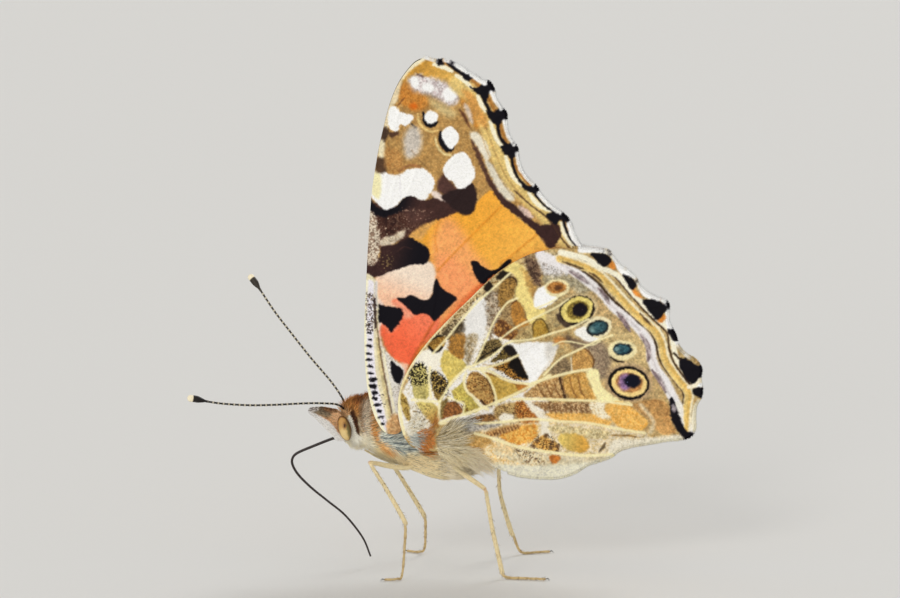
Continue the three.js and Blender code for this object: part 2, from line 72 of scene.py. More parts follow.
IMAGE_MIDDLE = (450, 298)
IMAGE_WIDTH = 900
CAMERA_DISTANCE = 400
CAMERA_CLIP = (0.01, 20)
SENSOR = 36
SKY_COLOUR = (1.0, 0.99, 0.97, 1)
SKY_STRENGTH = 0.61
# Each sun: the way its light goes, its strength, its width in degrees and its colour
SUNS = {
    "key": ((0.45, 1.0, -0.75), 0.5, 18, (1.0, 0.975, 0.93)),
    "front": ((0.3, 1.0, -0.02), 1.1, 30, (1.0, 0.98, 0.95)),
    "fill": ((-0.6, -1.0, -0.8), 1.1, 25, (0.95, 0.97, 1.0)),
}
FLOOR_HALF = 9000
FLOOR_COLOUR = (0.72, 0.71, 0.685, 1)


def make_camera():
    data = bpy.data.cameras.new("camera")
    data.sensor_width = SENSOR
    data.lens = SENSOR * CAMERA_DISTANCE / (IMAGE_WIDTH * PIXEL)
    data.clip_start, data.clip_end = CAMERA_CLIP
    camera = bpy.data.objects.new("camera", data)
    back = np.array([0, -math.cos(VIEW_RISE), math.sin(VIEW_RISE)]) * CAMERA_DISTANCE
    camera.location = (seen(*IMAGE_MIDDLE) + back) * MM
    camera.rotation_euler = (math.pi / 2 - VIEW_RISE, 0, 0)
    bpy.context.collection.objects.link(camera)
    bpy.context.scene.camera = camera


def make_sun(name, towards, strength, width, colour):
    data = bpy.data.lights.new(name, "SUN")
    data.energy = strength
    data.angle = math.radians(width)
    data.color = colour
    sun = bpy.data.objects.new(name, data)
    sun.rotation_euler = Vector(towards).to_track_quat("-Z", "Y").to_euler()
    bpy.context.collection.objects.link(sun)


def make_light():
    world = bpy.data.worlds.new("studio")
    world.use_nodes = True
    sky = world.node_tree.nodes["Background"].inputs
    sky["Color"].default_value = SKY_COLOUR
    sky["Strength"].default_value = SKY_STRENGTH
    bpy.context.scene.world = world
    bpy.context.scene.view_settings.view_transform = "Standard"
    for name, looks in SUNS.items():
        make_sun(name, *looks)


def make_floor():
    """A wide pale floor that reaches behind the whole picture."""
    material, tree, shader = new_material("pale_floor", Roughness=0.9)
    shader.inputs["Base Color"].default_value = FLOOR_COLOUR
    corners = [(-1, -1, 0), (1, -1, 0), (1, 1, 0), (-1, 1, 0)]
    mesh = solid_mesh("floor", np.array(corners, float) * FLOOR_HALF, np.array([[0, 1, 2, 3]]))
    link("floor", mesh, material)


# Noise, curves and colour

NOISE_CELLS = 256
NOISE_SHIFT = (37.3, 11.7)


def ease(t):
    return t * t * (3 - 2 * t)


def fade(x, low, high):
    """A smooth step from 0 at low to 1 at high."""
    return ease(np.clip((x - low) / (high - low), 0, 1))


def bell(distance, width):
    return np.exp(-((distance / width) ** 2))


def lattice_noise(x, y, size, seed):
    """Smooth value noise from -1 to 1 with cells of that size."""
    cells = np.random.default_rng(seed).uniform(-1, 1, (NOISE_CELLS, NOISE_CELLS))
    x = np.asarray(x) / size + NOISE_SHIFT[0]
    y = np.asarray(y) / size + NOISE_SHIFT[1]
    i, j = np.floor(x).astype(int), np.floor(y).astype(int)
    u, v = ease(x - i), ease(y - j)
    left, right, top, bottom = (k % NOISE_CELLS for k in (i, i + 1, j, j + 1))
    upper = cells[left, top] * (1 - u) + cells[right, top] * u
    lower = cells[left, bottom] * (1 - u) + cells[right, bottom] * u
    return upper * (1 - v) + lower * v


def linear(colour):
    """A display colour of 0 to 255 a channel as linear light."""
    c = np.asarray(colour, float) / 255
    return np.where(c <= 0.04045, c / 12.92, ((c + 0.055) / 1.055) ** 2.4)


def mixed(colour, other, share):
    """A colour moved towards another one by a share a point."""
    return colour * (1 - share) + np.array(other, float) * share


def spline(points, steps, loop=False):
    """A smooth curve through the points, each span in so many steps."""
    p = np.asarray(points, float)
    if loop:
        p = np.vstack([p[-1:], p, p[:2]])
    else:
        p = np.vstack([2 * p[0] - p[1], p, 2 * p[-1] - p[-2]])
    t = np.arange(steps)[:, None] / steps
    spans = []
    for a, b, c, d in zip(p, p[1:], p[2:], p[3:]):
        bend = 2 * a - 5 * b + 4 * c - d
        twist = 3 * b - a - 3 * c + d
        spans.append(0.5 * (2 * b + (c - a) * t + bend * t**2 + twist * t**3))
    curve = np.vstack(spans)
    return curve if loop else np.vstack([curve, p[-2:-1]])


def lengths(curve):
    """How far along a flat or a bent curve each of its points lies."""
    steps = np.diff(curve, axis=0)
    size = np.hypot(*steps.T) if steps.shape[1] == 2 else np.linalg.norm(steps, axis=1)
    return np.r_[0, np.cumsum(size)]


def at_lengths(places, run, curve):
    """The points of a curve at some lengths along it."""
    return np.stack([np.interp(places, run, part) for part in curve.T], axis=1)


def along_edges(x, y, start, edge):
    """How far along each edge, from 0 to 1, and how far away from it each point lies."""
    run = (x - start[:, 0]) * edge[:, 0] + (y - start[:, 1]) * edge[:, 1]
    along = np.clip(run / np.maximum((edge**2).sum(1), TINY), 0, 1)
    return along, np.hypot(x - start[:, 0] - along * edge[:, 0], y - start[:, 1] - along * edge[:, 1])


def in_box(column, row, low, high):
    """Which points lie in a box of the side view."""
    return np.flatnonzero((column > low[0]) & (column < high[0]) & (row > low[1]) & (row < high[1]))


# Steps a span and reach round a mark and a line, in pixels
MARK_STEPS, MARK_MARGIN = 4, 8
LINE_STEPS, LINE_MARGIN = 5, 4
SPOT_POINTS = 12
OUTSIDE = -99.0
# Sizes in pixels of the noise on the edge of a mark, in its grain, on the edge of a line and in the dusting
EDGE_NOISE = (2.6, 1.2)
GRAIN_NOISE = (1.5, 0.9)
LINE_NOISE = 2.2
DUST_NOISE = ((1.4, 0.7), (3.2, 0.45), (7.0, 0.3))


class Paint:
    """Colours on the points of a surface, laid on mark by mark. Places are pixels of the side view."""

    def __init__(self, column, row, seed):
        self.column, self.row, self.seed = column, row, seed
        self.colour = np.zeros((len(column), 3))

    def wobble(self, size, amount):
        """Noise on the points. Each call draws a new one, so the order of the marks counts."""
        self.seed += 1
        return lattice_noise(self.column, self.row, size, self.seed) * amount

    def nearby(self, low, high):
        """Which points lie in a box of the side view, and where."""
        near = in_box(self.column, self.row, low, high)
        return near, self.column[near, None], self.row[near, None]

    def depth(self, outline):
        """How far inside a closed outline each point lies, in pixels; negative outside."""
        p = spline(outline, MARK_STEPS, loop=True)
        near, x, y = self.nearby(p.min(0) - MARK_MARGIN, p.max(0) + MARK_MARGIN)
        after = np.roll(p, -1, axis=0)
        edge = after - p
        away = along_edges(x, y, p, edge)[1].min(1)
        crossing = (p[:, 1] > y) != (after[:, 1] > y)
        rise = np.where(edge[:, 1] == 0, TINY, edge[:, 1])
        left = x < p[:, 0] + (y - p[:, 1]) / rise * edge[:, 0]
        inside = (crossing & left).sum(1) % 2 == 1
        result = np.full(len(self.column), OUTSIDE)
        result[near] = np.where(inside, away, -away)
        return result

    def lay(self, cover, colour, second=None, share=None):
        colour = np.asarray(colour, float)
        if second is not None:
            colour = colour + (np.asarray(second, float) - colour) * share[:, None]
        self.colour += (colour - self.colour) * cover[:, None]

    def area(self, colour, points, soft=1.2, ragged=0.65, clear=1.0, to=None, ends=None, grain=None,
             share=0.5):
        """A filled mark. It may blend to a second colour between two ends, or be grained with it."""
        broad, fine = EDGE_NOISE
        depth = self.depth(points) + self.wobble(broad, ragged) + self.wobble(fine, ragged * 0.6)
        cover = fade(depth, -soft, soft) * clear
        if ends is not None:
            (ax, ay), (bx, by) = ends
            run = (self.column - ax) * (bx - ax) + (self.row - ay) * (by - ay)
            self.lay(cover, colour, to, fade(run / ((bx - ax) ** 2 + (by - ay) ** 2), 0, 1))
        elif grain is not None:
            broad, fine = GRAIN_NOISE
            mix = 0.5 + self.wobble(broad, 0.6) + self.wobble(fine, 0.5) + (share - 0.5) * 1.3
            self.lay(cover, colour, grain, fade(mix, 0.3, 0.7))
        else:
            self.lay(cover, colour)

    def stroke(self, colour, points, width, soft=0.9, ragged=0.4, clear=1.0, taper=0.0):
        """A line through the points, thinner at its ends by the taper."""
        p = spline(points, LINE_STEPS)
        near, x, y = self.nearby(p.min(0) - width - LINE_MARGIN, p.max(0) + width + LINE_MARGIN)
        along, away = along_edges(x, y, p[:-1], np.diff(p, axis=0))
        best = away.argmin(1)
        place = (best + along[np.arange(len(best)), best]) / (len(p) - 1)
        half = width / 2 * (1 - taper * np.abs(2 * place - 1) ** 2)
        cover = np.zeros(len(self.column))
        cover[near] = fade(half - away.min(1) + self.wobble(LINE_NOISE, ragged)[near], -soft, soft) * clear
        self.lay(cover, colour)

    def spot(self, colour, column, row, wide, high, tilt=0.0, **looks):
        """An oval mark with its middle, half width, half height and tilt in degrees."""
        turn = np.linspace(0, FULL_TURN, SPOT_POINTS, endpoint=False)
        c, s = math.cos(math.radians(tilt)), math.sin(math.radians(tilt))
        x, y = wide * np.cos(turn), high * np.sin(turn)
        self.area(colour, np.c_[column + x * c - y * s, row + x * s + y * c], **looks)

    def specks(self, colour, points, share, size=1.3, soft=3.0):
        """Loose scales of another colour scattered over an area."""
        depth = self.depth(points)
        loose = fade(self.wobble(size, 1.0), 1 - 2 * share, 1.25 - 2 * share)
        self.lay(fade(depth, -soft, soft) * loose, colour)

    def dust(self, amount):
        """Uneven scales: dull middle tones vary most, white, black and bright colours least."""
        light = self.colour.mean(1) / 255
        dull = 1 - (self.colour.max(1) - self.colour.min(1)) / 255
        tone = sum(self.wobble(*looks) for looks in DUST_NOISE)
        middle = np.clip(4 * light * (1 - light) - 0.3, 0, 1)
        self.colour *= (1 + amount * middle * dull * tone)[:, None]


# Colours of the wings, from 0 to 255 a channel

INK = (15, 12, 20)
COFFEE = (60, 38, 36)
OCHRE = (188, 148, 88)
TAN = (194, 170, 118)
STRAW = (226, 196, 122)
CREAM = (246, 236, 202)
WHITE = (253, 253, 251)
SHELL = (247, 228, 208)
ORANGE = (244, 170, 58)
PEACH = (251, 170, 108)
CORAL = (248, 108, 70)
LILAC = (196, 186, 190)
TEAL = (62, 98, 104)


# Marks of the forewing, from the ground up. Their places are pixels of the side view.

def forewing_field(p):
    """The orange field, the coral cell and the pale patch between them."""
    orange_field = [(404, 236), (413, 229), (422, 222), (436, 219), (447, 210), (454, 205), (470, 212),
        (478, 200), (492, 190), (505, 205), (520, 219), (534, 229), (552, 250), (600, 262), (560, 300),
        (480, 380), (420, 425), (395, 400), (412, 360), (432, 320), (436, 290), (431, 262), (424, 243)]
    p.area(ORANGE, orange_field, to=(249, 186, 84), ends=((455, 210), (545, 262)))
    peach_glow = [(442, 218), (452, 218), (464, 232), (474, 250), (490, 272), (478, 292), (455, 320),
        (438, 335), (430, 300), (432, 270), (431, 244)]
    p.area(PEACH, peach_glow, soft=8, clear=0.85)
    deep_peach = [(438, 258), (452, 256), (466, 268), (476, 284), (456, 304), (440, 292)]
    p.area((252, 158, 104), deep_peach, soft=8, clear=0.75)
    ochre_corner = [(404, 238), (412, 228), (424, 220), (438, 216), (430, 228), (422, 238), (414, 238)]
    p.area((228, 172, 92), ochre_corner, soft=3, ragged=1.2, grain=(214, 160, 92), share=0.4)
    red_flush = [(421, 352), (436, 330), (455, 308), (476, 286), (492, 274), (500, 280), (470, 315),
        (440, 350), (415, 385), (408, 378)]
    p.area((246, 120, 66), red_flush, soft=5)
    coral_flush = [(404, 305), (430, 300), (440, 322), (420, 345), (396, 340), (376, 332), (376, 316)]
    p.area((250, 128, 92), coral_flush, soft=3)
    upper_vein = [(436, 271), (455, 251), (475, 231), (500, 206)]
    p.stroke((214, 128, 34), upper_vein, 1.5, soft=1.4, clear=0.65)
    lower_vein = [(500, 262), (515, 251), (537, 233)]
    p.stroke((216, 132, 40), lower_vein, 1.6, soft=1.4, clear=0.6)
    cross_vein = [(437, 250), (435, 236), (438, 222)]
    p.stroke((214, 130, 50), cross_vein, 1.2, soft=1.4, clear=0.55)
    pale_patch = [(374, 280), (384, 270), (397, 262), (410, 259), (424, 260), (434, 264), (435.5, 280),
        (431, 296), (424, 301), (414, 298), (404, 301), (396, 308), (378, 308)]
    p.area(SHELL, pale_patch, to=(252, 200, 166), ends=((412, 272), (398, 304)), soft=1.8)
    pink_rim = [(374, 300), (382, 300), (384, 314), (380, 332), (386, 350), (394, 360), (386, 362),
        (378, 350), (374, 330)]
    p.area((250, 222, 206), pink_rim, soft=1.6)
    coral_cell = [(383, 326), (389, 332), (396, 329), (402, 320), (400, 308), (392, 300), (400, 298),
        (410, 310), (424, 314), (434, 320), (436, 330), (426, 338), (417, 352), (409, 364), (400, 361),
        (391, 355), (385, 345), (382, 335)]
    p.area(CORAL, coral_cell, soft=1.8, to=(250, 128, 92), ends=((402, 345), (432, 318)))
    pink_notch = [(392, 302), (400, 299), (408, 308), (414, 314), (405, 318), (402, 310)]
    p.area((252, 160, 128), pink_notch, soft=2.5)
    lower_crease = [(408, 368), (417, 350), (426, 334), (434, 321)]
    p.stroke((196, 96, 40), lower_crease, 2.2, soft=1.6, clear=0.7)
    base_crease = [(408, 372), (413, 362), (420, 350)]
    p.stroke((170, 96, 40), base_crease, 2.0, soft=1.4, clear=0.7)
    pink_corner = [(398, 362), (408, 364), (404, 376), (402, 370)]
    p.area((250, 196, 168), pink_corner, soft=2)


def forewing_base(p):
    """The pale base under the leading edge."""
    grey_base = [(379, 345), (386, 350), (394, 358), (403, 366), (404, 376), (402, 390), (403, 414),
        (404, 436), (386, 436), (384, 400), (380, 370)]
    p.area((232, 228, 220), grey_base, grain=(190, 182, 168), share=0.35)


def forewing_lower_marks(p):
    """Black marks of the lower half."""
    lower_bar = [(366, 262), (372, 262), (380, 256), (381, 246), (390, 243), (397, 243), (401, 238),
        (406, 235), (414, 238), (421, 243), (428, 247), (430, 253), (428, 260), (424, 263), (411, 264),
        (398, 268), (385, 273), (374, 276), (366, 277)]
    p.area(COFFEE, lower_bar, to=INK, ends=((385, 250), (420, 258)), soft=0.9)
    brown_scales = [(380, 256), (392, 252), (392, 266), (382, 270)]
    p.specks((120, 96, 66), brown_scales, 0.3)
    brown_line = [(398, 250), (404, 246), (412, 248)]
    p.stroke((96, 60, 50), brown_line, 1.0, clear=0.5)
    front_block = [(375, 304), (385, 305), (397, 306), (403, 311), (402, 317), (399, 323), (394, 329),
        (390, 331), (388, 326), (381, 322), (376, 321)]
    p.area(INK, front_block, soft=0.9, ragged=0.8)
    forked_mark = [(397, 297), (405, 296.5), (410, 293.5), (416, 296), (424, 299), (430, 297), (433, 290),
        (434, 281), (437, 277.5), (440, 284), (446, 290), (457, 296.5), (453, 302), (447, 308), (441, 314),
        (434, 320), (430, 315), (423, 312), (415, 314), (410, 309), (403, 303)]
    p.area(INK, forked_mark, soft=0.9, ragged=0.3)
    base_block = [(391, 360), (397, 364), (403, 369), (403, 376), (399, 382), (394, 379), (391, 370)]
    p.area(INK, base_block, soft=0.9)
    outer_mark = [(471, 261), (477, 260), (482, 265), (488, 268), (495, 269), (502, 264), (509, 258),
        (511, 262), (500, 270), (490, 277), (485, 282), (479, 281), (474, 273)]
    p.area(INK, outer_mark, soft=0.9)


def forewing_middle(p):
    """The middle: the mottled patch under the dark band, and its pale lower edge."""
    mottled_patch = [(368, 205), (390, 206), (415, 205), (440, 212), (430, 220), (415, 229), (408, 236),
        (400, 240), (380, 246), (366, 262)]
    p.area((92, 64, 54), mottled_patch, grain=(70, 42, 34), share=0.6, soft=2)
    pale_scales = [(378, 214), (394, 210), (412, 226), (404, 234), (382, 240)]
    p.specks((184, 160, 136), pale_scales, 0.18, size=1.2)
    dark_scales = [(384, 214), (398, 208), (410, 212), (408, 228), (388, 234)]
    p.specks((52, 30, 26), dark_scales, 0.4, size=2.2)
    pale_edge = [(379, 242), (384, 236), (394, 234), (400, 230), (406, 229), (404, 235), (400, 239),
        (392, 243), (383, 245)]
    p.area((222, 208, 184), pale_edge, soft=1.4, grain=(184, 166, 140), share=0.35)
    pale_front = [(369, 209), (375, 212), (378, 224), (380, 245), (377, 262), (367, 262), (366, 240)]
    p.area((226, 212, 190), pale_front, grain=(138, 114, 96), share=0.48, ragged=1.2)
    fine_vein = [(396, 240), (397, 226), (398, 214)]
    p.stroke((150, 118, 96), fine_vein, 1.0, clear=0.5)


def forewing_bands(p):
    """The dark band and the white band over it."""
    dark_band = [(370, 197), (374, 202), (382, 208), (390, 208), (398, 204), (402, 198), (411, 194),
        (424, 199), (434, 197), (442, 197), (450, 201), (458, 207), (452, 214), (440, 218), (430, 221),
        (415, 221), (408, 211), (396, 212), (386, 216), (376, 214), (370, 207)]
    p.area(INK, dark_band, to=(66, 42, 38), ends=((396, 206), (420, 212)), soft=1.4, ragged=1.0)
    brown_cloud = [(404, 210), (416, 208), (430, 212), (426, 219), (410, 224)]
    p.area((92, 62, 54), brown_cloud, soft=3, clear=0.7)
    brown_scales = [(400, 208), (420, 208), (436, 214), (420, 222), (404, 222)]
    p.specks((140, 108, 92), brown_scales, 0.26)
    pale_notch = [(432, 190), (438, 191), (444, 196), (449, 201), (440, 199), (433, 196)]
    p.area((236, 218, 206), pale_notch, soft=1.3)
    white_band = [(375, 171), (383, 169), (387, 172), (394, 174), (402, 172), (411, 168), (424, 168),
        (430, 173), (434, 180), (434, 187), (430, 193), (425, 199), (420, 199), (412, 195), (405, 196),
        (400, 201), (396, 205), (388, 209), (381, 206), (376, 201), (371, 194), (371, 183)]
    p.area(WHITE, white_band, soft=0.9)
    cream_end = [(374, 172), (380, 171), (382, 182), (379, 198), (372, 192), (371, 182)]
    p.area((248, 240, 190), cream_end, soft=2)
    vein_in_white = [(400, 175), (401, 196)]
    p.stroke((224, 222, 226), vein_in_white, 1.2, clear=0.6)


def forewing_tip(p):
    """The tip: ochre clouds, white spots and their crescents."""
    ochre_cloud = [(400, 84), (410, 66), (424, 60), (440, 64), (458, 78), (470, 92), (474, 104), (462, 100),
        (450, 88), (430, 80), (412, 78)]
    p.area((204, 150, 62), ochre_cloud, soft=3, to=(228, 184, 96), ends=((410, 74), (466, 92)))
    cream_edge = [(390, 112), (386, 120), (384, 112), (390, 96), (398, 80), (410, 66), (424, 57), (424, 62),
        (412, 70), (402, 82), (395, 96)]
    p.area(CREAM, cream_edge, soft=1.6)
    rusty_cloud = [(399, 92), (402, 84), (409, 83), (420, 92), (430, 100), (427, 108), (415, 112),
        (404, 106), (400, 99)]
    p.area((206, 140, 62), rusty_cloud, soft=2.6, ragged=1.2, grain=(190, 122, 50), share=0.5)
    pale_edge = [(384, 128), (384, 112), (390, 95), (398, 82), (403, 78), (400, 90), (397, 102), (391, 110),
        (388, 128)]
    p.area((232, 214, 176), pale_edge, soft=1.6)
    p.spot((216, 108, 28), 414, 106, 4.0, 3.0, soft=2.4)
    lilac_cloud = [(410, 78), (424, 78), (440, 80), (454, 88), (458, 100), (450, 106), (438, 100),
        (424, 94), (412, 90)]
    p.area(LILAC, lilac_cloud, soft=4, clear=0.8)
    pale_cloud = [(409, 79), (420, 75), (437, 81), (446, 85), (457, 93), (457, 101), (448, 105), (440, 98),
        (428, 93), (418, 91), (413, 86)]
    p.area((232, 226, 224), pale_cloud, soft=3, ragged=1.6, grain=(196, 182, 182), share=0.55)
    p.spot(WHITE, 415, 82.5, 4.4, 6, tilt=-10, soft=1.6)
    p.spot(WHITE, 428, 88, 6.5, 4.2, tilt=12, soft=1.8)
    p.spot(WHITE, 449.5, 95, 7, 7, soft=2.0)
    dark_fleck = [(418, 75), (423, 77)]
    p.stroke((120, 96, 90), dark_fleck, 1.6)
    straw_patch = [(428, 99), (442, 104), (456, 112), (450, 118), (436, 110)]
    p.area((214, 194, 140), straw_patch, soft=4, clear=0.8)
    rusty_edge = [(464, 92), (474, 98), (480, 110), (486, 124), (476, 128), (470, 112), (462, 104)]
    p.area((206, 134, 52), rusty_edge, soft=3)
    pale_fleck = [(464, 104), (469, 106), (472, 116), (472, 124), (466, 114)]
    p.area((216, 196, 176), pale_fleck, soft=2)
    brown_line = [(459, 109), (464, 116), (470, 128)]
    p.stroke((96, 58, 40), brown_line, 3, soft=1.5, taper=0.8)
    upper_white_spot = [(391, 107), (397, 107), (401, 112), (413, 116), (411, 122), (406, 126), (401, 124),
        (398, 131), (392, 130), (389, 125), (388, 115)]
    p.area(WHITE, upper_white_spot, soft=1.0)
    line_over_spot = [(398, 106), (403, 100), (405, 98)]
    p.stroke((120, 76, 40), line_over_spot, 2, taper=0.6)
    shade_under_spot = [(388, 130), (392, 132), (398, 131), (400, 133), (396, 137), (390, 136)]
    p.area((88, 60, 44), shade_under_spot, soft=1.4, ragged=1.0)
    dark_edge = [(383, 128), (388, 128), (388, 136), (384, 144), (381, 142)]
    p.area((70, 52, 40), dark_edge, soft=1.6)
    small_fleck = [(412, 124), (416, 128)]
    p.stroke((70, 56, 40), small_fleck, 2.4)
    grey_cloud = [(405, 134), (412, 126), (420, 130), (422, 142), (418, 154), (408, 158), (404, 148)]
    p.area((214, 210, 206), grey_cloud, soft=4, clear=0.85)
    cream_fleck = [(380, 140), (385, 142), (385, 156), (379, 160), (378, 150)]
    p.area((238, 226, 190), cream_fleck, soft=2)
    brown_block = [(377, 157), (384, 158), (388, 164), (385, 172), (377, 172), (375, 165)]
    p.area((84, 60, 42), brown_block, soft=1.8)
    ochre_patch = [(386, 148), (398, 150), (404, 160), (402, 172), (392, 173), (386, 166)]
    p.area((194, 146, 84), ochre_patch, soft=3, grain=(174, 122, 66), share=0.4)
    line_over_band = [(400, 170), (410, 165), (420, 166)]
    p.stroke((150, 102, 62), line_over_band, 2.4, soft=1.6)
    faint_vein = [(412, 150), (420, 160), (430, 170)]
    p.stroke((108, 74, 44), faint_vein, 1.4, clear=0.4)
    upper_crescent = [(418, 114), (419, 121), (424, 128), (431, 131.5), (438, 130)]
    p.stroke((228, 196, 126), upper_crescent, 2.4, taper=0.4)
    lower_crescent = [(435.5, 137), (437.5, 146), (443.5, 153), (452, 155)]
    p.stroke((236, 212, 150), lower_crescent, 2.4, taper=0.4)
    dark_crescents = [[(422.5, 113), (425, 113), (426, 119), (430, 123), (438, 121), (435, 126), (429, 128),
        (423.5, 123)], [(438.5, 134), (441, 131), (445, 137), (449, 143), (454, 147), (451, 152),
        (444, 150), (439.5, 143)]]
    for points in dark_crescents:
        p.area(INK, points, soft=0.9)
    p.spot(WHITE, 431, 117, 6.8, 6.4, soft=0.9)
    tall_white_spot = [(446, 128), (452, 127), (457, 132), (459, 139), (455, 145), (452, 149), (447, 146),
        (442, 138), (442, 132)]
    p.area(WHITE, tall_white_spot, soft=0.9)
    brown_wedge = [(437, 184), (443, 173), (448, 178), (456, 186), (464, 190), (458, 198), (448, 196),
        (440, 192)]
    p.area((84, 56, 50), brown_wedge, soft=2)
    dark_wedge = [(452, 190), (462, 187), (470, 183), (475, 186), (477, 198), (475, 207), (471, 213),
        (464, 214), (457, 211), (448, 203), (441, 196)]
    p.area((44, 30, 30), dark_wedge, soft=1.4, ragged=0.7)
    large_white_spot = [(457, 153), (463, 152), (468, 156), (472, 163), (475, 172), (473, 180), (468, 185),
        (462, 188), (457, 187), (452, 181), (446, 177), (443, 170), (446, 163), (451, 157)]
    p.area(WHITE, large_white_spot, soft=0.9)


def forewing_margin(p):
    """Bands along the outer margin, from the inside out."""
    outer = [(458, 84), (474, 98), (484, 116), (492, 140), (502, 164), (518, 186), (540, 208), (560, 232),
        (574, 250)]
    p.stroke(STRAW, outer, 17, soft=3)
    rusty_edge = [(462, 90), (474, 95), (480, 106), (487, 119), (486, 128), (478, 122), (470, 108)]
    p.area((204, 136, 62), rusty_edge, soft=3, clear=0.7)
    dark_wave = [(470.5, 140), (474, 142), (481, 155), (487, 172), (495, 184), (506, 198), (524, 212),
        (540, 224), (556, 222), (561, 232), (556, 243), (549, 247), (540, 236), (522, 219), (505, 206),
        (492, 190), (484, 174), (477, 157)]
    p.area((92, 62, 48), dark_wave, soft=1.2, ragged=0.9, to=COFFEE, ends=((480, 155), (515, 210)))
    pale_fleck = [(518, 205), (525, 207), (533, 215), (529, 217), (521, 211)]
    p.area((214, 186, 172), pale_fleck, soft=1.4)
    upper_cream = [(469, 134), (477, 132), (486, 143), (490, 154), (486, 160), (478, 148)]
    p.area((232, 224, 204), upper_cream, soft=1.6)
    lower_cream = [(485, 160), (492, 164), (503, 182), (512, 192), (514, 200), (504, 197), (492, 178)]
    p.area((228, 220, 200), lower_cream, soft=1.8)
    inner_line = [(486, 128), (494, 150), (506, 176), (524, 198)]
    p.stroke((172, 132, 74), inner_line, 1.3, clear=0.6)
    second_line = [(480, 132), (490, 158), (504, 184), (520, 204)]
    p.stroke((180, 140, 80), second_line, 1.2, clear=0.5)
    dark_line = [(514, 190), (530, 204), (548, 218), (560, 236), (570, 248)]
    p.stroke((70, 46, 34), dark_line, 1.8, clear=0.8)
    ochre_line = [(444, 62), (458, 70), (474, 82), (488, 98), (497, 118), (505, 140), (512, 160),
        (524, 178), (540, 196), (556, 212), (570, 232), (580, 248)]
    p.stroke((176, 120, 56), ochre_line, 3.0, soft=1.0)
    cream_dashes = [[(434, 65), (444, 68), (452, 72)], [(456, 76), (463, 80), (471, 88)], [(477.5, 96),
        (481, 104), (485, 111)], [(490, 122), (493.5, 132), (497, 140), (502, 146)], [(505.5, 156),
        (508.5, 167), (513.5, 176.5), (522, 185.5)], [(528.5, 192), (534, 200), (541.5, 206), (550, 210)],
        [(561, 222), (564.5, 233), (571, 242.5), (577, 249)]]
    for dash in cream_dashes:
        p.stroke((254, 246, 216), dash, 4.6, soft=1.0, taper=0.3)
    black_lines = [([(450, 66), (460, 73.5), (468, 75), (476, 72)], 2.4), ([(482, 96), (485.5, 104),
        (490, 112), (497, 122), (498, 130), (500.5, 138), (506, 145)], 3.2), ([(511, 155), (512.5, 164.5),
        (515.5, 173), (520, 180.5), (525.5, 186)], 3.0), ([(536, 195), (541, 201.5), (548, 207.5),
        (556, 212)], 2.2), ([(562.5, 218), (565.5, 228), (569.5, 236.5), (576, 245)], 2.6)]
    for line, width in black_lines:
        p.stroke(INK, line, width, soft=1.0)
    black_knots = [[(435, 60), (440, 60), (444, 65), (438, 66)], [(446, 64), (453, 61), (458, 66),
        (462, 74), (454, 70)], [(460, 74), (468, 70), (476, 75), (480, 80), (472, 79), (468, 82)],
        [(469, 87), (478, 88), (484, 81), (491, 80), (496, 88), (495.5, 92.5), (490, 94), (487.5, 98),
        (485.5, 104), (481, 97), (476, 93)], [(486, 111), (493, 112), (498, 109), (504, 106), (509, 116),
        (507, 120), (502, 121), (498, 126), (490, 120)], [(500.5, 147), (507, 143.5), (514, 142),
        (520, 150), (516, 154.5), (511.5, 159), (508, 155.5), (503.5, 153.5)], [(522, 184.5),
        (530.5, 185.5), (536, 184.5), (543, 192.5), (538.5, 198.5), (531.5, 192.5), (524.5, 189.5)],
        [(546, 213.5), (553.5, 210.5), (563.5, 210.5), (573, 221), (570, 226), (561, 218.5), (556, 224),
        (549, 219)]]
    for block in black_knots:
        p.area(INK, block, soft=1.0)
    white_dashes = [[(422, 57), (437, 61)], [(440, 58), (451, 62)], [(454, 64), (468, 73)], [(471, 75),
        (485, 84)], [(491, 93), (501, 109)], [(504, 121), (508, 134), (514, 144)], [(517, 153), (521, 169),
        (533, 184)], [(538, 193), (548, 203), (560, 212)], [(568, 223), (574, 238), (585, 250)]]
    for dash in white_dashes:
        p.stroke(WHITE, dash, 5.2, soft=1.0, taper=0.25)


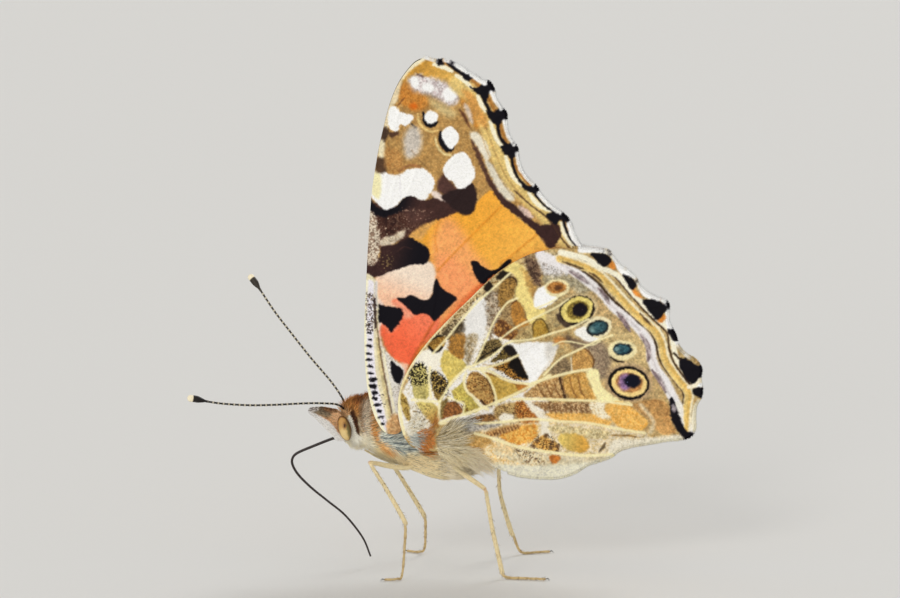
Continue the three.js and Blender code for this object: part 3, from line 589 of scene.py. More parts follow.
def forewing_leading_edge(p):
    """A cream rim, a white strip with black ticks, and a cream stripe beside a brown line."""
    cream_ground = [(363, 278), (376, 279), (378, 300), (379, 335), (384, 365), (388, 390), (391, 412),
        (388, 424), (384, 432), (374, 415), (366, 390), (362, 350)]
    p.area((236, 226, 190), cream_ground, soft=1.0)
    grey_strip = [(376.5, 281), (376, 296), (376, 306)]
    p.stroke((222, 216, 212), grey_strip, 3.0, soft=1.2)
    white_strip = [(370, 283), (369.5, 330), (370, 350), (371, 366), (373, 380), (376, 393), (379, 405),
        (382, 416), (384, 426)]
    p.stroke((238, 234, 242), white_strip, 8.4, soft=0.8)
    tan_stripe = [(377.5, 338), (380, 362), (384, 384), (388, 404), (390, 414)]
    p.stroke((206, 186, 130), tan_stripe, 3.4, soft=0.9, clear=0.7)
    brown_line = [(374.5, 303), (377, 325), (380, 348), (383, 366), (387, 386), (390, 402), (392, 412)]
    p.stroke((112, 86, 60), brown_line, 1.6, soft=0.8, clear=0.9)
    cream_stripe = [(383, 348), (386, 366), (389.5, 384), (393, 402), (395, 414)]
    p.stroke((244, 236, 204), cream_stripe, 2.4, soft=0.9)
    ochre_root = [(388, 419), (393, 413), (400, 413), (405, 420), (406, 436), (390, 436), (386, 428)]
    p.area((216, 176, 124), ochre_root, soft=2.2, ragged=1.2, grain=(190, 144, 96), share=0.5)
    cream_rim = [(384, 431), (375.6, 414), (369, 395), (365.8, 370), (364.3, 340), (365, 300), (366.2, 281)]
    p.stroke((252, 246, 212), cream_rim, 4.6, soft=1.0)
    loose_scales = [((150, 134, 120), 0.4), ((62, 50, 48), 0.42)]
    upper_strip = [(366, 292), (376, 296), (377, 312), (375, 330), (367, 330), (366, 312)]
    for colour, share in loose_scales:
        p.specks(colour, upper_strip, share, size=1.1, soft=1.5)
    lower_strip = [(374, 384), (382, 386), (387, 412), (384, 424), (378, 410)]
    p.specks((74, 62, 60), lower_strip, 0.24, size=1.1, soft=1.2)
    dark_line = [(374.5, 298), (375, 312), (375.5, 326)]
    p.stroke((58, 44, 42), dark_line, 1.8)
    ticks = [(369.5, 332, 4, 1.8), (369.5, 338.5, 5, 2.6), (369, 344.8, 6, 3.4), (369.5, 352.4, 6, 3.2),
        (369.5, 358.6, 6.4, 3.2), (370.3, 365.2, 7, 3.2), (371, 372, 7, 3.0), (373, 378.2, 8, 4.0),
        (373.4, 384.8, 9, 4.6), (375, 391.6, 7.6, 3.8), (374.6, 397, 6.4, 3.2), (378, 403.8, 7, 3.4),
        (378.8, 409.4, 6, 2.8), (381.4, 415.6, 5.6, 2.8), (383.4, 422.4, 3.6, 2.8)]
    for column, row, wide, high in ticks:
        p.spot(INK, column, row, wide / 2, high / 2, tilt=5, soft=0.7, ragged=0.9)


def paint_forewing(p):
    everywhere = [(350, 40), (620, 40), (620, 450), (350, 450)]
    p.area(OCHRE, everywhere, grain=(178, 136, 78), share=0.5)
    forewing_field(p)
    forewing_base(p)
    forewing_lower_marks(p)
    forewing_middle(p)
    forewing_bands(p)
    forewing_tip(p)
    forewing_margin(p)
    forewing_leading_edge(p)
    p.dust(0.4)


# Marks of the hindwing, in the same order

def hindwing_ground(p):
    """Ground of the base: white between the cells, tan further out."""
    white_ground = [(398, 405), (410, 375), (420, 352), (440, 330), (470, 300), (480, 290), (494, 300),
        (496, 330), (516, 340), (552, 342), (552, 362), (534, 382), (548, 400), (552, 430), (540, 440),
        (500, 428), (450, 420), (402, 432)]
    p.area((244, 240, 232), white_ground, grain=(226, 214, 190), share=0.3)
    cream_ray = [(480, 425), (500, 445), (560, 462), (640, 446), (640, 428), (560, 412), (500, 415)]
    p.area((232, 216, 184), cream_ray, soft=3, grain=(214, 190, 140), share=0.4)
    tan_ground = [(555, 262), (590, 280), (620, 318), (646, 350), (660, 390), (672, 430), (610, 420),
        (600, 360), (560, 310)]
    p.area((174, 150, 104), tan_ground, soft=5, grain=(200, 168, 116), share=0.55)
    pale_tan = [(600, 326), (640, 336), (652, 362), (600, 372), (590, 350)]
    p.area((196, 170, 118), pale_tan, soft=6, grain=(212, 188, 134))
    grey_tan = [(585, 338), (604, 342), (612, 360), (604, 378), (594, 376), (590, 352), (572, 346)]
    p.area((158, 138, 112), grey_tan, soft=4, grain=(132, 112, 92), share=0.4)


def hindwing_front(p):
    """Front part: the strip along the front edge and the cells behind it."""
    front_strip = [(418, 352), (430, 334), (452, 308), (474, 288), (500, 272), (530, 256), (548, 250),
        (560, 256), (530, 268), (505, 282), (482, 296), (458, 320), (440, 340)]
    p.area((206, 184, 138), front_strip, soft=2, grain=(150, 122, 76), share=0.4)
    strip_scales = [(426, 344), (450, 314), (478, 290), (500, 276), (480, 300), (446, 340)]
    p.specks((64, 50, 34), strip_scales, 0.28)
    white_corner = [(417, 352), (427, 349), (438, 351), (442, 356), (437, 365), (438, 374), (430, 372),
        (414, 364)]
    p.area((250, 244, 226), white_corner, soft=1.2)
    brown_block = [(428, 345), (432, 338), (446, 334), (444, 344), (438, 350), (433, 350)]
    p.area((128, 92, 40), brown_block, soft=1.0, grain=(176, 136, 62), share=0.5)
    line_under_block = [(429, 345), (433, 350), (438, 350), (442, 346)]
    p.stroke((24, 18, 14), line_under_block, 2.2)
    line_over_block = [(432, 338), (438, 335), (446, 334)]
    p.stroke((30, 22, 16), line_over_block, 2.0)
    grey_block = [(442, 332), (454, 319), (462, 319), (462, 328), (456, 334), (450, 338)]
    p.area((90, 74, 52), grey_block, soft=1.4, grain=(190, 170, 130), share=0.4)
    dark_corner = [(454, 326), (462, 320), (466, 327), (463, 334), (456, 336)]
    p.area((60, 50, 38), dark_corner, soft=1.5, clear=0.6)
    ochre_block = [(449, 338), (455, 333), (463, 332), (467, 340), (466, 352), (462, 359), (455, 357),
        (449, 350)]
    p.area((184, 130, 58), ochre_block, soft=2.0, ragged=1.2, grain=(150, 108, 52), share=0.5)
    khaki_block = [(441, 357), (446, 348), (455, 356), (463, 359), (466, 366), (455, 378), (449, 385),
        (446, 375), (441, 367)]
    p.area((222, 200, 110), khaki_block, soft=1.2, grain=(204, 180, 92), share=0.4)
    white_block = [(472, 304), (480, 297), (488, 299), (490, 308), (488, 320), (484, 333), (478, 338),
        (470, 340), (466, 330), (468, 312)]
    p.area((238, 236, 232), white_block, soft=1.8)
    tan_block = [(468, 334), (478, 334), (474, 350), (468, 364), (464, 350)]
    p.area((200, 186, 160), tan_block, soft=2, grain=(160, 140, 104))


def hindwing_base_cells(p):
    """Cells of the base, dusted with dark scales."""
    green_cell = [(411, 378), (410, 372), (414, 366), (420, 362), (426, 367), (428, 374), (430, 383),
        (429, 392), (427, 398), (416, 397), (413, 390)]
    p.area((208, 194, 122), green_cell, soft=0.9, grain=(184, 170, 100))
    dark_half = [(408, 378), (410, 368), (420, 360), (428, 368), (430, 380), (418, 384)]
    p.specks((30, 26, 20), dark_half, 0.62, size=1.0, soft=2)
    olive_half = [(411, 384), (430, 380), (430, 398), (414, 398)]
    p.specks((84, 74, 42), olive_half, 0.22, size=1.0)
    brown_cell = [(431, 372), (435, 369), (440, 374), (446, 379), (448, 387), (446, 392), (442, 398),
        (438, 399), (434, 394), (432, 386)]
    p.area((176, 148, 78), brown_cell, soft=0.9, grain=(120, 96, 50))
    dark_top = [(430, 370), (440, 372), (449, 382), (446, 394), (434, 388)]
    p.specks((26, 22, 20), dark_top, 0.6, size=1.0, soft=2)
    front_sliver = [(400, 393), (405, 393), (408, 401), (411, 412), (410, 420), (406, 416), (402, 408)]
    p.area((190, 160, 84), front_sliver, soft=1.0, grain=(130, 100, 46), share=0.4)
    yellow_cell = [(416, 401), (428, 400), (437, 404), (440, 412), (439, 424), (433, 425), (426, 416),
        (420, 408)]
    p.area((214, 196, 116), yellow_cell, soft=1.6, to=(188, 140, 70), ends=((424, 402), (434, 424)))
    white_base = [(411, 404), (416, 404), (423, 414), (431, 424), (430, 434), (404, 434), (408, 424),
        (412, 418)]
    p.area((236, 230, 214), white_base, soft=3.4, grain=(206, 192, 160), share=0.35)
    brown_scales = [(414, 404), (430, 404), (438, 424), (418, 428)]
    p.specks((132, 104, 60), brown_scales, 0.3, size=1.0)
    grey_scales = [(408, 414), (420, 410), (432, 424), (410, 432)]
    p.specks((96, 92, 96), grey_scales, 0.16, size=1.0, soft=3)
    olive_cell = [(452, 391), (458, 385), (464, 379), (466, 388), (474, 398), (480, 408), (470, 412),
        (463, 412), (463, 402), (456, 399)]
    p.area((206, 190, 96), olive_cell, soft=1.1, grain=(186, 164, 80))
    cell_scales = [(446, 396), (456, 392), (466, 402), (474, 410), (462, 410)]
    p.specks((110, 84, 40), cell_scales, 0.34)
    rusty_cell = [(442, 410), (444, 402), (451, 399.5), (458, 401), (462.5, 408), (460, 413), (452, 415),
        (445, 417), (441.5, 416)]
    p.area((160, 104, 56), rusty_cell, soft=1.1, ragged=0.9, grain=(110, 70, 38), share=0.5)
    rusty_rim = [(440.5, 402), (446, 397), (448, 399), (444, 406), (443, 416), (440.5, 417)]
    p.area((158, 136, 78), rusty_rim, soft=1.2, grain=(110, 90, 50))
    grey_ray = [(446, 424), (466, 416), (500, 412), (500, 424), (476, 430), (450, 436)]
    p.area((196, 190, 178), grey_ray, soft=2, grain=(140, 134, 128), share=0.45)
    brown_ray = [(466, 420), (476, 415), (487, 413), (495, 414), (498, 417), (490, 422), (478, 424)]
    p.area((150, 108, 62), brown_ray, soft=1.4, ragged=1.0, grain=(92, 66, 42), share=0.45)


def hindwing_middle_cells(p):
    """The long oval, the khaki cell beside it and the cells above."""
    long_oval = [(470, 372), (475, 370), (481, 373), (487, 378), (491, 386), (494, 394), (494, 401),
        (490, 405), (484, 404), (479, 399), (473, 394), (468, 390), (466, 384), (467, 378)]
    p.area((198, 158, 92), long_oval, soft=0.9, grain=(156, 112, 60), share=0.5)
    oval_scales = [(468, 374), (480, 372), (494, 392), (490, 406), (470, 392)]
    p.specks((70, 46, 28), oval_scales, 0.26, size=1.0)
    oval_end = [(481, 399), (486, 404), (492, 404), (494, 399)]
    p.stroke((60, 38, 24), oval_end, 1.8)
    oval_side = [(487, 378), (491, 386), (494, 395)]
    p.stroke((90, 60, 34), oval_side, 1.4)
    khaki_cell = [(484, 371), (495, 374), (505, 379), (515, 383), (528, 385), (521, 391), (508, 397),
        (497, 402), (494, 392), (490, 381)]
    p.area((204, 170, 84), khaki_cell, soft=1.0, grain=(184, 148, 66), share=0.4)
    cell_line = [(486, 372), (500, 376), (514, 382), (528, 386)]
    p.stroke((140, 96, 44), cell_line, 2.2, clear=0.8)
    rusty_end = [(516, 382), (528, 384), (528, 388), (520, 391)]
    p.area((176, 116, 50), rusty_end, soft=1.2)
    front_cell = [(473, 365), (477, 355), (482, 346), (487, 340), (494, 337), (500, 339), (502, 345),
        (496, 351), (486, 357)]
    p.area((138, 116, 70), front_cell, soft=1.0, grain=(106, 88, 52), share=0.45)
    front_scales = [(474, 364), (484, 344), (500, 340), (500, 348), (486, 358)]
    p.specks((34, 28, 20), front_scales, 0.36, size=1.0)
    front_line = [(474, 364), (482, 356), (490, 351), (500, 346)]
    p.stroke((34, 28, 20), front_line, 1.6)
    small_cell = [(491, 361), (497, 354), (502, 348), (506, 344), (511, 345), (516, 350), (516, 354),
        (508, 357)]
    p.area((130, 108, 58), small_cell, soft=1.0, grain=(96, 78, 44), share=0.4)
    ink_end = [(503, 347), (506, 344), (511, 344), (516, 349), (516, 354), (511, 355), (506, 352)]
    p.area(INK, ink_end, soft=1.6, clear=0.85)
    small_scales = [(490, 362), (502, 348), (516, 354), (504, 360)]
    p.specks((34, 28, 20), small_scales, 0.36, size=1.0)
    ochre_cell = [(484, 363), (492, 364), (500, 361), (510, 359), (517, 355), (521, 361), (525, 370),
        (529, 378), (520, 379), (512, 377), (503, 371), (494, 367)]
    p.area((178, 128, 58), ochre_cell, soft=1.0, grain=(140, 96, 40), share=0.4)
    black_end = [(510, 360), (517, 355), (521, 361), (525, 370), (529, 377), (520, 376), (513, 369),
        (508, 365)]
    p.area((18, 14, 12), black_end, soft=1.6)
    black_scales = [(494, 364), (512, 358), (528, 376), (512, 378)]
    p.specks((24, 18, 14), black_scales, 0.44, size=1.1)
    white_patch = [(514, 343), (525, 342), (540, 342), (551, 343), (556, 348), (551, 356), (545, 365),
        (537, 378), (531, 383), (526, 370), (520, 356), (517, 350)]
    p.area(WHITE, white_patch, soft=1.2)
    grey_side = [(546, 342), (558, 344), (552, 356), (546, 358)]
    p.area((226, 222, 214), grey_side, soft=2.5)


def hindwing_outer_front(p):
    """Outer front cells."""
    grey_strip = [(486, 291), (500, 290), (507, 300), (501, 314), (496, 326), (490, 338), (487, 320)]
    p.area((184, 168, 144), grey_strip, soft=3, ragged=1.6, grain=(122, 100, 76), share=0.45)
    first_fleck = [(483, 288), (488, 281), (493, 284), (492, 289), (487, 291)]
    p.area((34, 26, 20), first_fleck, soft=1.2)
    second_fleck = [(496, 277), (500, 271), (507, 268), (511, 271), (508, 276), (502, 279)]
    p.area((34, 26, 20), second_fleck, soft=1.3)
    brown_cell = [(503, 279), (513, 276), (517, 282), (516, 288), (513, 296), (509, 303), (502, 308),
        (498, 300), (499, 289)]
    p.area((168, 128, 66), brown_cell, soft=1.4, ragged=1.2, grain=(112, 84, 44), share=0.45)
    cell_edge = [(504, 278), (512, 276), (517, 282), (515, 291)]
    p.stroke((56, 38, 26), cell_edge, 1.5)
    tan_cell = [(502, 310), (512, 303), (515, 318), (522, 326), (514, 330), (503, 322)]
    p.area((168, 140, 96), tan_cell, soft=1.4, grain=(130, 104, 70), share=0.4)
    ochre_cell = [(512, 303), (518, 300), (523, 306), (525, 315), (529, 322), (522, 326), (516, 326),
        (511, 314)]
    p.area((192, 134, 60), ochre_cell, soft=1.3, grain=(164, 116, 56), share=0.45)
    ochre_edge = [(512, 302), (518, 299), (524, 306), (526, 316), (530, 322)]
    p.stroke((96, 60, 30), ochre_edge, 1.5)
    striped_cell = [(496, 322), (502, 318), (510, 324), (518, 331), (512, 338), (500, 336), (494, 332)]
    p.area((172, 124, 64), striped_cell, soft=1.1, grain=(110, 70, 40), share=0.5)
    for step in range(3):
        p.stroke((84, 50, 30), [(498 + 5 * step, 319 + 4 * step), (503 + 5 * step, 326 + 4 * step),
            (500 + 5 * step, 334 + 2 * step)], 1.2)
    yellow_ray = [(504, 269), (512, 262), (522, 264), (527, 274), (531, 286), (533, 299), (537, 307),
        (546, 309), (546, 318), (538, 319), (530, 323), (526, 315), (523, 305), (516, 298), (515, 288),
        (518, 281), (513, 273)]
    p.area((240, 218, 138), yellow_ray, soft=1.4)
    tawny_ray = [(521, 266), (530, 276), (537, 288), (534, 298), (527, 286)]
    p.area((190, 144, 76), tawny_ray, soft=3, ragged=1.4, clear=0.8)
    dark_cloud = [(524, 257), (531, 255), (537, 260), (540, 270), (540, 284), (534, 282), (527, 268)]
    p.area((124, 98, 76), dark_cloud, soft=2.6, ragged=1.8, grain=(74, 54, 44), share=0.5)
    dark_line = [(536, 252), (546, 255), (556, 258)]
    p.stroke((70, 52, 44), dark_line, 2.4)
    lilac_cloud = [(538, 256), (548, 256), (558, 262), (570, 268), (566, 276), (552, 278), (541, 270)]
    p.area((226, 222, 220), lilac_cloud, soft=2.6, ragged=1.4, grain=(176, 166, 158), share=0.42)
    olive_cloud = [(544, 276), (560, 274), (576, 276), (590, 288), (580, 294), (566, 284), (546, 284)]
    p.area((176, 166, 138), olive_cloud, soft=3, ragged=1.4, grain=(150, 138, 108), share=0.5)
    tan_ray = [(536, 322), (548, 320), (556, 326), (548, 332), (536, 336), (520, 342), (514, 338)]
    p.area((198, 174, 118), tan_ray, soft=2, grain=(160, 136, 90), share=0.5)
    gold_cell = [(534, 337), (533, 324), (537, 319), (542, 319), (547, 325), (548, 333), (540, 336)]
    p.area((186, 150, 66), gold_cell, soft=1.0, grain=(160, 122, 48), share=0.4)
    gold_edge = [(533, 332), (533, 323), (538, 318), (543, 319), (548, 327), (549, 333)]
    p.stroke((104, 84, 42), gold_edge, 1.5)


def hindwing_eyespots(p):
    """White tooth, the row of eyespots and their grounds."""
    tan_ground = [(548, 300), (565, 296), (566, 318), (556, 326), (546, 316)]
    p.area((188, 168, 120), tan_ground, soft=2.5, grain=(170, 146, 100))
    white_tooth = [(541, 286), (548, 285), (549, 292), (557, 297), (550, 303), (543, 307), (535, 306),
        (533, 299), (536, 290)]
    p.area(WHITE, white_tooth, soft=1.2)
    p.spot((242, 228, 178), 557, 286.5, 12.5, 8.6, soft=1.0)
    p.spot((190, 132, 68), 556.5, 286.5, 9.6, 5.8, soft=1.2, grain=(160, 100, 44), share=0.4)
    p.spot((96, 60, 34), 558, 286.5, 3.6, 2.6, soft=1.6)
    p.spot((216, 196, 150), 577.5, 309, 20.5, 16.2, tilt=-24, soft=2.0, clear=0.7)
    p.spot((36, 28, 22), 576.6, 309.4, 18.6, 14.4, tilt=-24, soft=0.9)
    p.spot((236, 216, 126), 577, 308.6, 16.4, 12.4, tilt=-24, soft=0.9)
    p.spot((158, 136, 60), 577.5, 308.8, 11.6, 8.8, tilt=-24, soft=1.2, grain=(120, 100, 46))
    p.spot((22, 16, 22), 580, 308.5, 7.8, 7.2, soft=1.4, ragged=0.8)
    violet_scales = [(574, 304), (582, 302), (586, 310), (580, 314)]
    p.specks((96, 74, 90), violet_scales, 0.14)
    dark_foot = [(559, 312), (562, 318), (570, 324), (566, 326), (559, 321), (556, 314)]
    p.area((70, 56, 46), dark_foot, soft=1.4)
    p.spot((244, 232, 190), 597, 326.5, 15, 11, tilt=-18, soft=1.3)
    white_fleck = [(574, 330), (585, 325), (590, 334), (600, 338), (590, 341), (580, 337)]
    p.area((250, 248, 240), white_fleck, soft=1.4)
    p.spot((22, 26, 28), 597.3, 326.8, 11.2, 7.6, tilt=-18, soft=1.1)
    p.spot(TEAL, 598, 326.5, 9.2, 5.6, tilt=-18, soft=1.6, grain=(44, 76, 84))
    p.spot((126, 154, 150), 592, 328.5, 2.8, 2.4, soft=2.0, clear=0.7)
    brown_fleck = [(566, 334), (576, 338), (585, 343), (576, 345), (566, 340)]
    p.area((104, 84, 66), brown_fleck, soft=2.5)
    rusty_fleck = [(553, 338), (560, 335), (566, 338), (562, 342), (555, 342)]
    p.area((196, 128, 62), rusty_fleck, soft=2.2, clear=0.8)
    p.spot((244, 230, 178), 622.5, 349, 14.6, 9.8, tilt=3, soft=1.3)
    dark_brow = [(611, 356), (617, 360), (624, 361)]
    p.stroke((48, 38, 30), dark_brow, 2.0)
    p.spot((18, 28, 36), 622.8, 348.2, 9.6, 6.0, tilt=2, soft=1.0)
    p.spot((56, 96, 106), 622, 348, 7.4, 4.2, soft=1.6, grain=(42, 76, 86))
    p.spot((150, 178, 176), 617, 348.5, 2.6, 2.4, soft=1.8, clear=0.7)
    p.spot((176, 148, 120), 629, 381.5, 23.5, 19.5, tilt=12, soft=3, clear=0.6)
    p.spot((14, 10, 12), 629, 381.8, 20.6, 16.6, tilt=12, soft=0.9)
    p.spot((248, 216, 142), 629.3, 382, 18.0, 14.0, tilt=12, soft=0.9)
    p.spot((188, 134, 78), 629.6, 381.6, 13.8, 9.8, tilt=8, soft=1.2, grain=(170, 116, 66))
    p.spot((142, 110, 150), 625, 381, 6.4, 8.4, soft=2.4)
    p.spot((12, 12, 30), 632.8, 379.8, 8.3, 6.8, tilt=14, soft=1.6, ragged=0.8)
    blue_scales = [(626, 375), (634, 374), (638, 382), (628, 388)]
    p.specks((120, 130, 180), blue_scales, 0.10)


def hindwing_outer_cells(p):
    """Outer cells under the white patch."""
    grey_cell = [(548, 372), (556, 360), (564, 354), (570, 362), (572, 370), (560, 373)]
    p.area((160, 136, 100), grey_cell, soft=1.2, grain=(122, 102, 76), share=0.45)
    ochre_cell = [(572, 358), (577, 349), (583, 347), (589, 352), (593, 359), (592, 367), (585, 370),
        (573, 370)]
    p.area((208, 162, 92), ochre_cell, soft=1.2, grain=(180, 134, 74), share=0.45)
    ochre_edge = [(583, 346), (590, 352), (594, 360), (592, 368)]
    p.stroke((110, 74, 40), ochre_edge, 1.5)
    pale_line = [(571, 357), (572, 370)]
    p.stroke((236, 226, 196), pale_line, 1.6)
    tan_cell = [(524, 395), (536, 384), (546, 378), (560, 376), (565, 386), (564, 396), (545, 397)]
    p.area((208, 172, 116), tan_cell, soft=1.4, grain=(160, 120, 72), share=0.5)
    gold_cell = [(563, 376), (580, 371), (586, 373), (589, 384), (598, 398), (570, 397)]
    p.area((220, 174, 98), gold_cell, soft=1.4, ragged=1.0, grain=(192, 144, 72), share=0.5)
    dark_line = [(560, 377), (562, 386), (565, 396)]
    p.stroke((66, 44, 28), dark_line, 2.2, ragged=0.8)
    for step in range(6):
        p.stroke((104, 66, 36), [(538 + 8 * step, 383 - 1.6 * step), (541 + 8 * step, 390),
            (545 + 8 * step, 396)], 1.5, clear=0.6)
    yellow_bay = [(586, 371), (598, 368), (601, 383), (608, 391), (618, 398), (631, 402), (600, 400),
        (592, 386)]
    p.area((250, 238, 178), yellow_bay, soft=1.4)


def hindwing_hind_part(p):
    """Hind part: rays of ochre and gold down to the inner margin."""
    tan_cell = [(498, 404), (520, 401), (526, 410), (520, 420), (500, 420), (494, 412)]
    p.area((196, 166, 108), tan_cell, soft=1.6, grain=(150, 118, 72), share=0.45)
    rusty_cell = [(516, 402), (523, 401), (530, 407), (537, 413), (538, 420), (528, 422), (518, 419)]
    p.area((206, 146, 74), rusty_cell, soft=1.6, ragged=1.2, grain=(162, 98, 44), share=0.5)
    rusty_scales = [(516, 402), (524, 401), (530, 410), (524, 421), (517, 420)]
    p.specks((108, 68, 34), rusty_scales, 0.34, size=1.0)
    white_fleck = [(500, 414), (507, 412), (514, 415), (513, 419), (504, 421), (500, 419)]
    p.area((246, 240, 222), white_fleck, soft=1.6)
    brown_scales = [(496, 406), (516, 404), (518, 414), (500, 414)]
    p.specks((88, 66, 44), brown_scales, 0.24, size=1.0, soft=2)
    white_bend = [(530, 399), (540, 410), (548, 420), (550, 436), (541, 436), (540, 420), (530, 408)]
    p.area((240, 232, 212), white_bend, soft=1.4)
    striped_ray = [(533, 401), (560, 401), (592, 402), (590, 412), (560, 411), (546, 410)]
    p.area((196, 164, 120), striped_ray, soft=1.4, grain=(140, 104, 66), share=0.5)
    gold_ray = [(546, 412), (570, 412), (592, 413), (604, 417), (611, 421), (606, 426), (586, 422),
        (560, 420)]
    p.area((234, 186, 104), gold_ray, soft=1.2, grain=(222, 164, 78), share=0.4)
    for step in range(9):
        p.stroke((110, 72, 40), [(544 + 5.2 * step, 404), (546 + 5.2 * step, 412)], 1.3, clear=0.7)
    gold_end = [(604, 405), (615, 401), (624, 401), (634, 408), (642, 414), (648, 421), (646, 427),
        (638, 430), (628, 430), (612, 420)]
    p.area((238, 188, 104), gold_end, soft=1.4, grain=(226, 166, 76), share=0.4)
    tawny_end = [(632, 404), (654, 398), (668, 404), (672, 420), (676, 432), (662, 432), (654, 422),
        (642, 412)]
    p.area((196, 150, 90), tawny_end, soft=2, grain=(176, 128, 74), share=0.4)
    tawny_corner = [(650, 418), (664, 420), (672, 430), (660, 432)]
    p.area((206, 158, 96), tawny_corner, soft=2)
    pale_bend = [(641, 404), (649, 413), (654, 422), (651, 431)]
    p.stroke((236, 220, 184), pale_bend, 4.0, soft=1.8, clear=0.75)
    white_gap = [(590, 401), (606, 401), (604, 409), (611, 416), (603, 418), (592, 411)]
    p.area((246, 236, 208), white_gap, soft=1.6, grain=(226, 204, 160), share=0.35)
    khaki_ray = [(548, 425), (580, 426), (608, 430), (604, 437), (576, 436), (556, 432)]
    p.area((222, 206, 158), khaki_ray, soft=1.4, grain=(190, 168, 120), share=0.4)
    thin_line = [(610, 434), (626, 434.5), (641, 436.5)]
    p.stroke((150, 116, 66), thin_line, 2.0, taper=0.8)
    orange_patch = [(500, 436), (503, 430), (512, 428), (522, 424), (534, 423), (538, 430), (535, 437),
        (526, 442), (517, 443), (508, 441)]
    p.area((236, 186, 96), orange_patch, soft=1.6, ragged=1.2, grain=(214, 144, 60), share=0.5)
    striped_patch = [(486, 431), (500, 426), (518, 423), (516, 428), (502, 433), (490, 436)]
    p.area((206, 160, 100), striped_patch, soft=2.0)
    for step in range(11):
        column = 487 + 3 * step
        row = 433.5 - 0.78 * step
        p.stroke((112, 68, 36), [(column, row - 1.6), (column + 1.2, row + 0.4), (column + 1.6, row + 1.8)],
            1.3, soft=0.8, clear=0.8)
    patch_scales = [(484, 431), (500, 425), (520, 421), (516, 428), (500, 433), (488, 436)]
    p.specks((88, 56, 32), patch_scales, 0.3, size=1.0, soft=2)
    ochre_patch = [(470, 442), (476, 436), (485, 434), (491, 438), (492, 445), (488, 449), (480, 450),
        (472, 448)]
    p.area((206, 166, 100), ochre_patch, soft=1.4, grain=(180, 134, 70), share=0.4)
    ringed_patch = [(532, 443), (538, 437), (545, 433), (550, 438), (556, 441), (559, 447), (554, 451),
        (540, 448)]
    p.area((228, 178, 96), ringed_patch, soft=1.1, grain=(160, 110, 50), share=0.35)
    ring_places = [(533, 445), (537, 439), (546, 434), (552, 441), (557, 445), (557, 450), (551, 446)]
    for speck in ring_places:
        p.spot((104, 76, 50), speck[0], speck[1], 2.0, 1.9, soft=1.6)
    ring_scales = [(530, 441), (546, 432), (560, 442), (558, 452), (536, 449)]
    p.specks((66, 48, 32), ring_scales, 0.3, size=1.0, soft=1.5)
    khaki_patch = [(558, 434), (572, 432), (584, 436), (589, 444), (584, 451), (572, 450), (562, 444)]
    p.area((216, 188, 102), khaki_patch, soft=1.3, to=(212, 160, 70), ends=((562, 440), (588, 444)))
    cream_fold = [(484, 446), (500, 443), (520, 448), (546, 456), (548, 464), (520, 466), (492, 460)]
    p.area((244, 226, 186), cream_fold, soft=2, grain=(232, 196, 130), share=0.4)
    pale_orange = [(496, 442), (506, 442), (516, 447), (512, 452), (500, 451), (494, 447)]
    p.area((232, 180, 104), pale_orange, soft=1.8, ragged=1.4, grain=(244, 212, 150), share=0.4)
    fold_scales = [(514, 448), (532, 449), (546, 457), (544, 464), (522, 461)]
    p.specks((176, 130, 76), fold_scales, 0.4, size=1.0, soft=3)
    front_scales = [(490, 450), (516, 452), (532, 462), (500, 462)]
    p.specks((168, 128, 78), front_scales, 0.26, size=1.0, soft=3)
    dark_dash = [(605, 441), (603, 446), (599, 450)]
    p.stroke((110, 92, 66), dark_dash, 3.0, taper=0.6)
    cream_end = [(612, 440), (634, 438), (660, 436), (680, 434), (688, 442), (650, 450), (612, 460)]
    p.area((242, 234, 212), cream_end, soft=2.0, grain=(222, 212, 186), share=0.35)


